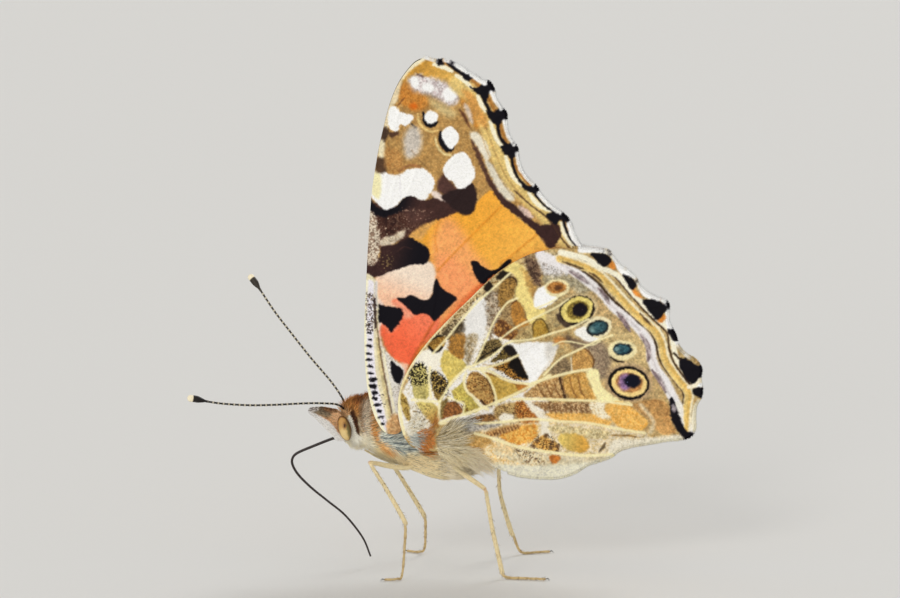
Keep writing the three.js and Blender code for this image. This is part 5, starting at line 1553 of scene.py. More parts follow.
def fringe(sheet, plane, side, painter, seed):
    """Short vanes that stand out all along the outer edge of a wing, from both of its faces."""
    rng = np.random.default_rng(seed)
    run = lengths(sheet.fringe_roots)
    steps = np.arange(0, run[-1], FRINGE_STEP)
    parts = []
    for face in (1, -1):
        places = steps + rng.uniform(-FRINGE_JITTER, FRINGE_JITTER, len(steps))
        root, tip = (at_lengths(places, run, curve).T for curve in (sheet.fringe_roots, sheet.fringe_tips))
        painted = Paint(*root, OUTER_SEED)
        painter(painted)
        y = plane(*root)
        start, end = seen(*root, -y), seen(*tip, -y)
        start[:, 1] = end[:, 1] = side * (y + face * FRINGE_OUT)
        along = unit(end - start) + rng.normal(0, 0.12, start.shape) * (1, 0.3, 1)
        start -= unit(end - start) * FRINGE_SINK
        normal = np.broadcast_to([0.0, side * face, 0.0], start.shape)
        shades = painted.colour * rng.normal(1, 0.05, (len(start), 1))
        length = FRINGE_LENGTH * rng.uniform(0.8, 1.12, len(start))
        uv = wing_map(*root, 0.0 if face > 0 else 0.5)
        parts.append(locks(start, along, normal, length, FRINGE_THICK, shades, uv, lift=0.05, droop=0.1,
                           flat=0.6))
    return parts


WINGS = {
    "forewing": (FOREWING_OUTLINE, FOREWING_VEINS, ((424, 58), (589, 260)),
                 forewing_plane, paint_forewing, paint_forewing_inside),
    "hindwing": (HINDWING_OUTLINE, HINDWING_VEINS, ((572, 246), (505, 471.5)),
                 hindwing_plane, paint_hindwing, paint_hindwing_inside),
}


def paint_faces(sheet, painter, inside_painter):
    """Colours of the outer and the inner face. Along the fringe both faces carry the same marks."""
    outer, inner = (Paint(sheet.column, sheet.row, seed) for seed in (OUTER_SEED, INNER_SEED))
    painter(outer)
    inside_painter(inner)
    away = distance_to_lines(sheet.column, sheet.row, [sheet.fringe_roots[::6]], RIM_REACH)
    rim = 1 - fade(away, 2.5, 5)
    inner.lay(rim, (0, 0, 0))
    inner.colour += outer.colour * rim[:, None]
    return outer.colour, inner.colour


def make_wings():
    scales = grained("wing_scales", 0.1, 0.055, 0.22, Roughness=0.75, Specular_IOR_Level=0.12)
    hairs = grained("fringe_hair", 0.1, 0.05, 0.0, Roughness=0.8, Specular_IOR_Level=0.1)
    for kind, (outline, veins, fringe_ends, plane, painter, inside_painter) in WINGS.items():
        sheet = WingSheet(outline, veins, fringe_ends)
        outer, inner = paint_faces(sheet, painter, inside_painter)
        for label, side in SIDES.items():
            name = kind + "_" + label
            wing = make_wing(name, sheet, plane, side, outer, inner, WING_SEED + side)
            dress("wing_" + name, wing, scales, "wing", name)
            vanes = fringe(sheet, plane, side, painter, FRINGE_SEED + side)
            dress("fringe_" + name, painted_mesh(name + "_fringe", vanes), hairs, "wing")


# The body: its skin lies inside the solids by the depth of its hair

# Column, row of the centre, half height and half width
BODY_SECTIONS = [
    (340.5, 425, 0.75, 0.42), (343, 424.6, 1.2, 0.55), (348, 423.2, 1.62, 0.62), (353, 422, 1.85, 0.66),
    (357.5, 421.3, 1.9, 0.8), (361, 421, 1.85, 0.95), (365, 420.3, 2.0, 1.2), (374, 419.6, 2.4, 1.55),
    (386, 421.5, 2.62, 1.8), (400, 427, 2.9, 1.95), (416, 432.5, 3.05, 2.0), (432, 438, 3.05, 1.95),
    (447, 442, 2.85, 1.8), (458, 445, 2.4, 1.6), (466, 446.4, 1.85, 1.35), (476, 446.4, 1.75, 1.35),
    (486, 446, 1.8, 1.45), (505, 446, 1.72, 1.45), (530, 447.5, 1.57, 1.37), (555, 449, 1.37, 1.22),
    (575, 450.5, 1.08, 1.03), (592, 452, 0.72, 0.72), (601, 453, 0.3, 0.3),
]
SECTION_STEPS = 12
ABDOMEN_START = 468
SEGMENTS = 9
SEGMENT_LENGTH = 15.5
SEGMENT_GROOVE = 0.07
GROOVE_WIDTH = 1.6
# Columns over which the grooves begin and stop
GROOVES_START = (ABDOMEN_START, ABDOMEN_START + 8)
GROOVES_END = (580, 595)


def section_at(column, sections):
    """Row of the centre, half height and half width at a column, smooth between the sections."""
    curve = spline(sections, SECTION_STEPS)
    if curve[0, 0] > curve[-1, 0]:
        curve = curve[::-1]
    return [np.interp(column, curve[:, 0], curve[:, k]) for k in (1, 2, 3)]


def body_section(column):
    """The section of the body's skin at a column, with the grooves between the segments of the abdomen."""
    row, high, wide = section_at(column, BODY_SECTIONS)
    place = (column - ABDOMEN_START) / SEGMENT_LENGTH
    groove = SEGMENT_GROOVE * bell((place - np.round(place)) * SEGMENT_LENGTH, GROOVE_WIDTH)
    groove = groove * fade(column, *GROOVES_START) * (1 - fade(column, *GROOVES_END))
    return row, high - groove, wide - groove


def body_point(column, turn):
    """A place on the body. The turn starts on the left side and goes up over the back."""
    row, high, wide = body_section(column)
    place = seen(column, row)
    place[..., 1] = -wide * np.cos(turn)
    place[..., 2] += high * np.sin(turn)
    return place


def body_frame(column, turn):
    """A place on the body and its outward normal."""
    back = unit(body_point(column + 0.5, turn) - body_point(column - 0.5, turn))
    round_up = unit(body_point(column, turn + 0.01) - body_point(column, turn - 0.01))
    return body_point(column, turn), unit(np.cross(back, round_up))


def body_map(column, turn):
    """Place on the unwrap of the body's skin."""
    across = 0.01 + MAP_TURN * (turn / FULL_TURN % 1)
    return np.stack(np.broadcast_arrays(across, (column - 332) / 275), axis=-1)


def paint_abdomen(p):
    """Tawny above with darker edges to its segments, cream below."""
    back = [(462, 400), (620, 400), (620, 446), (540, 442), (470, 436)]
    p.area((160, 112, 66), back, soft=5, grain=(134, 92, 54))
    for step in range(SEGMENTS):
        column = ABDOMEN_START + SEGMENT_LENGTH * step
        p.stroke((74, 50, 36), [(column, 408), (column + 1, 440)], 3, soft=2, clear=0.7)
    belly = [(450, 452), (520, 450), (604, 452), (604, 490), (440, 490)]
    p.area((226, 214, 184), belly, soft=5)
    fore_belly = [(445, 452), (500, 456), (505, 490), (440, 490)]
    p.area((214, 202, 172), fore_belly, soft=6, grain=(226, 218, 200))


def paint_thorax(p):
    """An orange collar, beige below, silver and slate under the forewing, a rusty tuft by the hindwing."""
    breast = [(360, 436), (385, 446), (420, 450), (450, 452), (484, 466), (460, 500), (400, 490),
        (350, 464)]
    p.area((250, 236, 196), breast, soft=4, grain=(242, 224, 178))
    breast_shade = [(384, 450), (404, 452), (424, 458), (430, 466), (410, 466), (392, 460)]
    p.area((246, 228, 186), breast_shade, soft=4, grain=(228, 206, 160), share=0.4, clear=0.8)
    thorax_back = [(362, 380), (440, 390), (450, 420), (400, 424), (368, 416)]
    p.area((168, 124, 80), thorax_back, soft=6, grain=(140, 100, 62))
    rusty_side = [(384, 412), (404, 410), (410, 428), (388, 432)]
    p.area((204, 150, 90), rusty_side, soft=4, grain=(184, 124, 62))
    collar = [(366, 408), (372, 410), (376, 424), (381, 435), (389, 443), (394, 450), (384, 450),
        (375, 442), (368, 430), (365, 418)]
    p.area((250, 200, 130), collar, soft=3, grain=(222, 152, 78), share=0.5)
    silver_patch = [(377, 431), (392, 428), (410, 429), (420, 434), (421, 450), (404, 452), (388, 447),
        (378, 440)]
    p.area((236, 238, 226), silver_patch, soft=3, grain=(206, 208, 196), share=0.4)
    streaks = [[(380, 437), (394, 438.5), (408, 435)], [(384, 440.5), (398, 443.5), (416, 441)],
        [(392, 446), (406, 448.5), (420, 448)], [(386, 433), (400, 433), (412, 431)]]
    for streak in streaks:
        p.stroke((84, 100, 106), streak, 1.4, soft=1.0, clear=0.8, taper=0.5)
    slate_patch = [(414, 438), (419, 438), (421, 446), (416, 447)]
    p.area((96, 94, 90), slate_patch, soft=2.5, clear=0.7)
    rusty_tuft = [(414, 431), (422, 428), (432, 432), (433, 446), (428, 454), (418, 452), (415, 442)]
    p.area((206, 130, 58), rusty_tuft, soft=2.4, grain=(176, 104, 44), share=0.4)
    # Painted light: the pale hair under the hind breast is painted brighter than white to lift the shade it
    # lies in
    hind_breast = [(436, 448), (470, 450), (492, 468), (480, 490), (440, 486)]
    p.area((270, 258, 230), hind_breast, soft=5, grain=(256, 242, 208), share=0.4)


def paint_head(p):
    """A rusty crest, a white line behind the eye with a dark patch after it, a white chin."""
    crest = [(334, 380), (370, 380), (372, 414), (360, 418), (346, 414), (334, 414)]
    p.area((202, 144, 82), crest, soft=3, grain=(162, 106, 52), share=0.45)
    crest_top = [(354, 388), (366, 388), (368, 402), (360, 408), (352, 402)]
    p.area((176, 114, 64), crest_top, soft=4, grain=(126, 74, 38), share=0.4)
    nape = [(360, 404), (369, 402), (370, 424), (366, 432), (361, 428), (359, 414)]
    p.area((172, 148, 124), nape, soft=3, grain=(206, 188, 164), share=0.45)
    cheek = [(361, 420), (367, 420), (367, 434), (361, 436)]
    p.area((232, 222, 204), cheek, soft=3, grain=(198, 168, 130))
    pale_line = [(368, 403), (365.5, 413), (366, 424), (369, 436)]
    p.stroke((255, 244, 218), pale_line, 3.2, soft=1.8, clear=0.75)
    brown_line = [(361.5, 402), (360.5, 414), (362, 426)]
    p.stroke((120, 84, 50), brown_line, 2.2, soft=1.6, clear=0.5)
    # Painted light: the white chin is painted brighter than white to lift the shade under the head
    chin = [(340, 436), (354, 434), (366, 434), (372, 446), (364, 458), (350, 458), (338, 448)]
    p.area((276, 268, 242), chin, soft=2.5, grain=(262, 250, 220), share=0.35)
    dark_patch = [(348.4, 412.6), (353, 411), (356, 416), (358.4, 425), (359, 434), (356.4, 432),
        (353.6, 424), (351.6, 417)]
    p.area((70, 40, 26), dark_patch, soft=0.9, grain=(108, 66, 38), share=0.35)
    # Painted light: the white line is painted brighter than white so it stays bright in the shade beside the
    # eye
    white_line = [(347.4, 414.6), (349.8, 414.6), (352.2, 420), (354.4, 427), (356.8, 433), (361, 438),
        (350, 444), (348.6, 434), (347.4, 424)]
    p.area((288, 284, 268), white_line, soft=0.6, ragged=0.2)
    brow = [(342, 411), (349, 411), (348.6, 414), (345, 415.5), (340, 415.5)]
    p.area((220, 176, 128), brow, soft=1.4)


def paint_body(p):
    """Colours of the skin and of the hair on it, by their place in the side view."""
    everywhere = [(320, 370), (620, 370), (620, 520), (320, 520)]
    p.area((226, 210, 172), everywhere, grain=(208, 190, 148))
    paint_abdomen(p)
    paint_thorax(p)
    paint_head(p)


BODY_SEED = 300


def colours_at(places, painter):
    """The colours that a painter gives to places, by where they show in the side view."""
    painted = Paint(*side_view(places), BODY_SEED)
    painter(painted)
    return painted.colour


SKIN_SIDES = 56
SKIN_STEP = 0.9
SKIN_LIGHT = 0.8
SKIN_ROUGH = 0.02
HUB_OUT = 0.25


def make_body():
    """One skin over head, thorax and abdomen, darker than the hair that stands on it."""
    first, last = BODY_SECTIONS[0][0], BODY_SECTIONS[-1][0]
    columns = np.r_[np.arange(first, last, SKIN_STEP), last]
    column, turn = rings_of(columns, SKIN_SIDES)
    places, normal = body_frame(column, turn)
    places += normal * (lattice_noise(column, turn * 40, 1.6, 31) * SKIN_ROUGH)[:, None]
    ends = ((first, -HUB_OUT), (last, HUB_OUT))
    hubs = [seen(end, body_section(end)[0]) + (out, 0, 0) for end, out in ends]
    places = np.vstack([places, hubs])
    uv = np.vstack([body_map(column, turn), [[0.5, 0.01], [0.5, 0.99]]])
    colours = linear(np.clip(colours_at(places, paint_body) * SKIN_LIGHT, 0, 255))
    mesh = solid_mesh("body_skin", places, tube_faces(len(columns), SKIN_SIDES), colours, uv)
    material = grained("skin", 0.08, 0.08, 0.4, Roughness=0.8, Specular_IOR_Level=0.15)
    dress("body_skin", mesh, material, "coat", "head", "thorax", "abdomen")


ROW_SHARE = 0.9
FEWEST_ROOTS = 6


def body_roots(first, last, step, rng):
    """Places spread over a length of the body, as columns and turns, about a step in millimetres apart."""
    columns, turns = [], []
    column = first
    while column < last:
        _, high, wide = body_section(column)
        count = max(FEWEST_ROOTS, int(math.pi * (high + wide) / step))
        turns.append((np.arange(count) + rng.uniform(0, 1)) / count * FULL_TURN)
        columns.append(np.full(count, column))
        column += step / PIXEL * ROW_SHARE
    column, turn = np.concatenate(columns), np.concatenate(turns)
    jitter = rng.uniform(-0.5, 0.5, (2, len(column)))
    column = column + jitter[0] * step / PIXEL
    _, high, wide = body_section(column)
    return column, turn + jitter[1] * step / ((high + wide) / 2)


def coat(name, column, turn, flow, length, width, material, seed, contrast, lift, droop, rings=3, keep=None,
         loose=0.16, splay=0.15, stand=0.0):
    """Hair over a length of the body. The flow is a side-view direction at each root, as columns and rows.

    Hair lies along the skin where stand is 0 and follows the flow away from the skin where it is 1.
    """
    rng = np.random.default_rng(seed)
    place, normal = body_frame(column, turn)
    if keep is not None:
        chosen = keep(*side_view(place), turn)
        column, turn, place, normal = (part[chosen] for part in (column, turn, place, normal))
    shown = side_view(place)
    run, fall = flow(*shown)
    along = np.stack([run, -np.cos(turn) * splay, -fall], axis=1) + rng.normal(0, loose, place.shape)
    along -= (along * normal).sum(1, keepdims=True) * normal * (1 - stand)
    colours = colours_at(place, paint_body) * rng.normal(1, contrast, (len(place), 1))
    long = length(*shown) * rng.uniform(0.6, 1.25, len(place))
    part = locks(place, along, normal, long, width, colours, body_map(column, turn), rings, lift, droop)
    dress(name, painted_mesh(name, [part]), material, "coat")


# Which way the hair flows, as columns and rows, how long it is in millimetres and where it grows

def thorax_flow(column, row):
    """Backwards and a little down, and up over the back."""
    low = fade(row, 436, 470)
    return np.ones_like(column), -0.35 + 0.8 * low


def head_flow(column, row):
    """Up on the crest, backwards on the cheek and down on the chin."""
    high = 1 - fade(row, 408, 418)
    low = fade(row, 430, 442)
    front = 1 - fade(column, 346, 356)
    return 0.9 - (0.35 + 0.85 * front) * high, -1.0 * high + 0.3 * low + 0.1


def crest_flow(column, row):
    """Forwards over the root of the feelers, backwards behind them."""
    return 0.35 - 0.8 * (1 - fade(column, 343, 356)), -np.ones_like(column)


def crest_length(column, row):
    return 0.5 + 0.35 * (1 - fade(column, 343, 349))


def on_the_crest(column, row, turn):
    return row < 414.5 - 10 * fade(column, 346, 353)


def beard_flow(column, row):
    return 0.7 + 0.5 * fade(column, 362, 374), np.ones_like(column)


def beard_length(column, row):
    return 0.55 + 0.3 * fade(column, 364, 376)


def on_the_chin(column, row, turn):
    return row > 438 + 8 * fade(column, 362, 374)


def abdomen_flow(column, row):
    return np.ones_like(column), 0.12 + 0.1 * fade(row, 440, 460)


def abdomen_length(column, row):
    return 0.42


def thorax_length(column, row):
    under = fade(row, 446, 462)
    return 0.6 + 0.5 * fade(column, 375, 420) + 0.35 * under + 0.75 * bell(column - 462, 18) * under


def head_length(column, row):
    crest = (1 - fade(row, 406, 416)) * (0.42 + 0.6 * (1 - fade(column, 345, 354)))
    chin = fade(row, 437, 443) * 0.42
    nape = fade(column, 358, 364) * 0.3
    return 0.13 + crest + chin + nape


# Column and row of an eye's middle; half its length, height and depth, and how far out its base is, in
# millimetres; and how much it leans
EYE = {"column": 344.4, "row": 428.0, "long": 0.535, "high": 1.03, "deep": 0.61, "base": 0.98, "lean": 0.2}


def off_the_eye(column, row, turn):
    """True where the head isn't under an eye."""
    middle = EYE["column"] - 0.8 + EYE["lean"] * (row - EYE["row"])
    across = (column - middle) * PIXEL / EYE["long"]
    up = (row - EYE["row"]) * PIXEL / (EYE["high"] + 0.03)
    return (across**2 + up**2 > 1) | (np.abs(np.sin(turn)) > 0.97)


ROOT_SEED = 41
HAIR_SEED = 51


def make_coats():
    hair = grained("hair", 0.1, 0.05, 0.0, Roughness=0.7, Specular_IOR_Level=0.2)
    rng = np.random.default_rng(ROOT_SEED)
    head = body_roots(341, 366, 0.075, rng)
    coat("coat_head", *head, head_flow, head_length, 0.034, hair, HAIR_SEED, contrast=0.14, lift=0.35,
         droop=0.3, keep=off_the_eye, loose=0.22)
    thorax = body_roots(362, 472, 0.115, rng)
    coat("coat_thorax", *thorax, thorax_flow, thorax_length, 0.045, hair, HAIR_SEED + 1, contrast=0.13,
         lift=0.26, droop=0.32)
    abdomen = body_roots(466, 600, 0.13, rng)
    coat("coat_abdomen", *abdomen, abdomen_flow, abdomen_length, 0.07, hair, HAIR_SEED + 2, contrast=0.12,
         lift=0.16, droop=0.16, rings=2)
    crest = body_roots(341.5, 365, 0.075, rng)
    coat("coat_crest", *crest, crest_flow, crest_length, 0.034, hair, HAIR_SEED + 3, contrast=0.14, lift=0.1,
         droop=0.12, keep=on_the_crest, loose=0.22, splay=0.45, stand=1.0)
    beard = body_roots(347, 402, 0.085, rng)
    coat("coat_beard", *beard, beard_flow, beard_length, 0.034, hair, HAIR_SEED + 4, contrast=0.08, lift=0.1,
         droop=0.12, keep=on_the_chin, loose=0.2, splay=0.3, stand=0.9)
    make_wing_hair(hair)
    make_palps(hair)


# Tufts over the root of each hindwing: their field in pixels, number of locks, direction in columns and
# rows, how much they fan out, length in millimetres, and the two colours they vary between
WING_TUFTS = [
    ([(404, 430), (407, 420), (414, 414), (424, 418), (432, 426), (424, 434), (412, 436)],
     150, (1, -0.5), 0.4, 0.7, (255, 255, 248), (206, 196, 170)),
    ([(404, 436), (410, 431), (418, 433), (416, 446), (408, 442)],
     260, (1, 0.2), 0.2, 1.0, (240, 240, 230), (150, 156, 154)),
    ([(434, 436), (442, 426), (454, 424), (458, 434), (456, 446), (446, 452), (436, 448)],
     620, (1, -0.25), 1.5, 1.1, (236, 220, 180), (130, 114, 78)),
    ([(434, 438), (442, 426), (456, 426), (458, 440), (448, 450), (436, 447)],
     260, (1, -0.2), 1.6, 1.4, (255, 248, 226), (232, 220, 190)),
    ([(448, 423), (466, 417), (478, 420), (468, 428), (452, 430)],
     120, (1, -0.15), 0.3, 0.9, (250, 248, 240), (176, 172, 160)),
    ([(415, 431), (423, 428), (431, 431), (433, 440), (427, 447), (418, 446)],
     700, (0.5, 0.3), 1.0, 0.5, (240, 170, 96), (196, 124, 62)),
    ([(424, 434), (430, 424), (434, 418), (437, 420), (435, 434), (430, 440)],
     110, (0.45, -1), 0.1, 0.8, (214, 156, 86), (178, 122, 64)),
    # Painted light: these tufts hang in shade under the body, so their lighter colours are painted brighter
    # than white
    ([(434, 446), (448, 445), (462, 449), (468, 456), (454, 458), (440, 455)],
     560, (1, 0.42), 1.3, 1.35, (280, 268, 232), (222, 206, 166)),
    ([(440, 440), (452, 440), (464, 450), (458, 456), (444, 452)],
     120, (1, 0.3), 1.6, 1.7, (280, 270, 238), (256, 242, 206)),
    ([(458, 446), (472, 447), (484, 455), (482, 460), (466, 455)],
     260, (1, 0.3), 0.8, 1.2, (280, 268, 240), (240, 226, 190)),
    ([(458, 452), (476, 452), (488, 459), (484, 465), (466, 463)],
     250, (1, 0.8), 0.5, 1.7, (284, 274, 248), (244, 230, 200)),
]
TUFT_THICK = 0.03
TUFT_SEED = 61
# How many pixels ahead a tuft looks for the slope of the wing
LOOK_AHEAD = 4.0


def tuft(rng, side, field, count, direction, fan, length, light, dark):
    """One tuft over the root of a hindwing. Its locks follow the surface of the wing."""
    loop, (run, fall) = np.array(field, float), direction
    low, high = loop.min(0), loop.max(0)
    column, row = (rng.uniform(low[k], high[k], 2 * count) for k in (0, 1))
    keep = inside_loop(column, row, loop)
    column, row = column[keep][:count], row[keep][:count]
    y = hindwing_plane(column, row)
    root = seen(column, row, -y)
    root[:, 1] = side * (y + OUTER_SKIN * 0.8)
    fall = fall + fan * (row - (low[1] + high[1]) / 2) / (high[1] - low[1])
    ahead = (hindwing_plane(column + LOOK_AHEAD * run, row + LOOK_AHEAD * fall) - y) / (LOOK_AHEAD * PIXEL)
    along = np.stack([np.full(len(row), float(run)), side * ahead, -fall], axis=1)
    along += rng.normal(0, 0.17, along.shape) * (1, 0.7, 1)
    normal = np.broadcast_to([0.0, side, 0.0], root.shape)
    share = rng.beta(0.6, 0.6, (len(row), 1))
    colours = np.array(light, float) * share + np.array(dark, float) * (1 - share)
    length = length * rng.uniform(0.45, 1.25, len(row))
    uv = wing_map(column, row, 0.05)
    return locks(root, along, normal, length, TUFT_THICK, colours, uv, rings=3, lift=0.2, droop=0.17)


def make_wing_hair(hair):
    """Long soft hair that fans over the root of each hindwing."""
    for label, side in SIDES.items():
        rng = np.random.default_rng(TUFT_SEED + side)
        parts = [tuft(rng, side, *looks) for looks in WING_TUFTS]
        dress("coat_wing_base_" + label, painted_mesh("wing_base_" + label, parts), hair, "coat")


# The palps: two flat beaks of scales in front of the face

# Column, row of the centre, half height and half width
PALP_SECTIONS = [
    (345, 428.5, 0.86, 0.16), (337.3, 424.6, 1.12, 0.24), (331, 420.8, 0.96, 0.24),
    (325, 417.2, 0.76, 0.22), (317, 413, 0.45, 0.18), (308, 409.8, 0.08, 0.06),
]
PALP_DEPTH = 0.5
PALP_SIDES = 24
PALP_STEP = 0.8
PALP_LIGHT = 0.85
PALP_SEED = 71
PALP_SCALES = 5200
PALP_SCALE_LENGTH, PALP_SCALE_THICK = 0.26, 0.032


def palp_point(column, turn, side):
    row, high, wide = section_at(column, PALP_SECTIONS)
    place = seen(column, row)
    place[..., 1] = side * PALP_DEPTH - wide * np.cos(turn)
    place[..., 2] += high * np.sin(turn)
    return place


def palp_map(column, turn):
    return np.c_[turn / FULL_TURN * MAP_TURN, (column - 300) / 50]


def paint_palp(p):
    everywhere = [(300, 396), (356, 396), (356, 460), (300, 460)]
    p.area((214, 166, 118), everywhere, grain=(186, 134, 88), share=0.4)
    bright_root = [(330, 414), (342, 412), (342, 424), (333, 422)]
    p.area((236, 194, 148), bright_root, soft=3)
    grey_back = [(304, 404), (318, 404), (332, 410), (330, 417), (318, 414), (306, 413)]
    p.area((160, 142, 116), grey_back, soft=2, grain=(106, 90, 72), share=0.45)
    brown_back = [(322, 404), (342, 406), (342, 412), (328, 411)]
    p.area((156, 112, 74), brown_back, soft=2, grain=(118, 82, 54))
    speckled_tip = [(302, 405), (314, 405), (320, 408), (314, 412), (304, 411.5)]
    p.area((226, 218, 210), speckled_tip, soft=1.4, grain=(112, 100, 94), share=0.5)
    white_side = [(296, 407), (309, 409.5), (315, 412.5), (320, 415), (326, 418.5), (331, 422),
        (335.5, 427), (340, 433), (347, 438), (358, 444), (352, 464), (320, 456), (296, 430)]
    p.area((255, 252, 248), white_side, soft=1.0, ragged=0.3)


def capped(places, sides):
    """The rings of a closed tube, with the middles of its first and last ring after them."""
    return np.vstack([places, places[:sides].mean(0), places[-sides:].mean(0)])


def palp_skin(name, side):
    columns = np.arange(PALP_SECTIONS[-1][0], PALP_SECTIONS[0][0], PALP_STEP)
    column, turn = rings_of(columns, PALP_SIDES)
    places = capped(palp_point(column, turn, side), PALP_SIDES)
    uv = np.vstack([palp_map(column, turn), [[0.5, 0.15], [0.5, 0.9]]])
    colours = linear(colours_at(places, paint_palp) * PALP_LIGHT)
    return solid_mesh(name, places, tube_faces(len(columns), PALP_SIDES), colours, uv)


def palp_scales(side):
    """Scales that point along the palp, set more densely towards its thick root."""
    rng = np.random.default_rng(PALP_SEED + side)
    tip, root = PALP_SECTIONS[-1][0], PALP_SECTIONS[0][0]
    column = tip + (root - tip) * np.sqrt(rng.uniform(0.004, 1, PALP_SCALES))
    turn = rng.uniform(0, FULL_TURN, PALP_SCALES)
    places = palp_point(column, turn, side)
    forwards = unit(palp_point(column - 0.5, turn, side) - palp_point(column + 0.5, turn, side))
    round_up = unit(palp_point(column, turn + 0.02, side) - palp_point(column, turn - 0.02, side))
    normal = unit(np.cross(round_up, forwards))
    colours = colours_at(places, paint_palp) * rng.normal(1, 0.09, (PALP_SCALES, 1))
    along = forwards + rng.normal(0, 0.12, forwards.shape)
    length = PALP_SCALE_LENGTH * rng.uniform(0.7, 1.15, PALP_SCALES)
    return locks(places, along, normal, length, PALP_SCALE_THICK, colours, palp_map(column, turn), lift=0.2,
                 droop=0.16)


def make_palps(hair):
    for label, side in SIDES.items():
        name = "palp_" + label
        dress(name, palp_skin(name, side), hair, "coat", name)
        dress("coat_" + name, painted_mesh("coat_" + name, [palp_scales(side)]), hair, "coat")


# Feelers, tongue and legs are tubes along a smooth line

LIMB_STEPS = 8
SIDEWAYS = (0, 1, 0)


def length_of(line):
    return np.linalg.norm(np.diff(line, axis=0), axis=1).sum()


def tube(line, radius, step, sides):
    """A tube in even steps along a curve. Gives its places, faces, distance along it and map."""
    run = lengths(line)
    at = np.linspace(0, run[-1], max(3, int(run[-1] / step)) + 1)
    middle = at_lengths(at, run, line)
    along = unit(np.gradient(middle, axis=0))
    across = unit(np.cross(along, np.cross(SIDEWAYS, along)))
    up = np.cross(along, across)
    size = radius(at)
    distance, turn = rings_of(at, sides)
    turns = turn[:sides]
    ring = across[:, None, :] * np.cos(turns)[None, :, None] + up[:, None, :] * np.sin(turns)[None, :, None]
    places = (middle[:, None, :] + ring * size[:, None, None]).reshape(-1, 3)
    start, end = middle[0] - along[0] * size[0] * 0.5, middle[-1] + along[-1] * size[-1] * 0.5
    places = np.vstack([places, start, end])
    distance = np.r_[distance, 0, run[-1]]
    uv = np.c_[np.r_[turn / FULL_TURN * MAP_TURN, 0.5, 0.5], distance / run[-1]]
    return places, tube_faces(len(at), sides, flip=True), distance, uv


ANTENNA_LEFT = [
    seen(347, 410.5, -0.2), seen(343.5, 408, -0.36), seen(340.5, 405.2, -0.74), seen(335, 403, -1.15),
    seen(326, 402.3, -1.55), seen(316, 402, -1.8), seen(300, 402.3, -2.1), seen(275, 403.5, -2.4),
    seen(250, 403.8, -2.7), seen(225, 402.3, -3), seen(210, 400.2, -3.2), seen(198, 397.6, -3.35),
    seen(189, 396.2, -3.5),
]
ANTENNA_RIGHT = [
    seen(347, 409, 0.4), seen(341, 396, 0.6), seen(330, 380.5, 1.3), seen(309, 356.5, 2.7),
    seen(290, 333, 3.9), seen(273, 311.5, 5), seen(259, 291, 5.8), seen(252, 281, 6.2),
    seen(246, 273.5, 6.5),
]
SHAFT = 0.085
CLUB = 0.275
CLUB_LENGTH = 1.35
CLUB_END = CLUB * 0.9
ANTENNA_RING = 0.43
ANTENNA_JOINT = 0.012
ANTENNA_PALE = (216, 208, 184)
CLUB_TIP = (252, 240, 208)
# Line, colour of the shaft and how sharply its pale rings begin
ANTENNAE = {
    "left": (ANTENNA_LEFT, (24, 20, 17), (0.3, 0.8)),
    "right": (ANTENNA_RIGHT, (52, 46, 38), (0.1, 0.7)),
}


def antenna_radius(at, total):
    """A shaft with a thicker root and joints, and a club with a round end."""
    left = total - at
    club = fade(left, CLUB_LENGTH * 1.25, CLUB_LENGTH * 0.55) * (CLUB - SHAFT)
    end = np.sqrt(np.clip(1 - ((CLUB_END - left) / CLUB_END).clip(0, 1) ** 2, 0.02, 1))
    joint = ANTENNA_JOINT * np.cos(at / ANTENNA_RING * FULL_TURN)
    return (SHAFT + 0.05 * fade(at, 0.5, 0) + club + joint * (left > CLUB_LENGTH)) * end


def antenna_colours(at, total, shaft, sharpness):
    """A dark shaft with pale rings, a dark club and its pale tip."""
    left = total - at
    pale = fade(np.cos(at / ANTENNA_RING * FULL_TURN), *sharpness) * fade(at, 0.9, 1.6)
    dark = np.array(shaft, float)
    colours = dark + (np.array(ANTENNA_PALE) - dark) * (pale * fade(left, 1.5, 1.9) * 0.9)[:, None]
    return mixed(colours, CLUB_TIP, fade(left, 0.5, 0.4)[:, None])


def make_antennae():
    material = grained("feeler", 0.06, 0.08, 0.2, Roughness=0.5, Specular_IOR_Level=0.3)
    for label, (places, shaft, sharpness) in ANTENNAE.items():
        name = "antenna_" + label
        line = spline(places, LIMB_STEPS)
        total = length_of(line)
        points, faces, at, uv = tube(line, lambda run: antenna_radius(run, total), 0.03, sides=14)
        colours = antenna_colours(at, total, shaft, sharpness)
        dress(name, solid_mesh(name, points, faces, linear(colours), uv), material, "feeler", name)


TONGUE = [
    seen(347, 437), seen(339, 436.5), seen(331, 438.5), seen(312, 446), seen(297, 452.5), seen(291.8, 458),
    seen(292, 465), seen(298, 475), seen(311, 488), seen(327, 501), seen(345, 516), seen(362, 538),
    seen(370, 557),
]
TONGUE_THICK, TONGUE_THINNING = 0.115, 0.045
TONGUE_RING = 0.11
TONGUE_APART = 0.055
TONGUE_BROWN = (44, 30, 24)


def make_tongue():
    """Two half tubes side by side, finely ringed."""
    material = grained("tongue", 0.05, 0.08, 0.3, Roughness=0.35, Specular_IOR_Level=0.4)
    line = spline(TONGUE, LIMB_STEPS)
    total = length_of(line)

    def radius(at):
        ring = 1 + 0.06 * np.cos(at / TONGUE_RING * FULL_TURN)
        return (TONGUE_THICK - TONGUE_THINNING * at / total) * ring

    parts = []
    for side in SIDES.values():
        points, faces, at, uv = tube(line + (0, side * TONGUE_APART, 0), radius, 0.028, sides=12)
        ring = 0.85 + 0.15 * np.cos(at / TONGUE_RING * FULL_TURN)
        colours = np.array(TONGUE_BROWN) * ring[:, None]
        parts.append((points, faces, colours, uv * (0.48, 1) + (0.25 + 0.25 * side, 0)))
    dress("tongue", painted_mesh("tongue", parts), material, "tongue", "proboscis_base", "proboscis_tip")


# The legs

def low(column, y, z):
    """A place near the floor, at a column of the side view."""
    return np.array([(column - MIDDLE_COLUMN) * PIXEL, y, z])


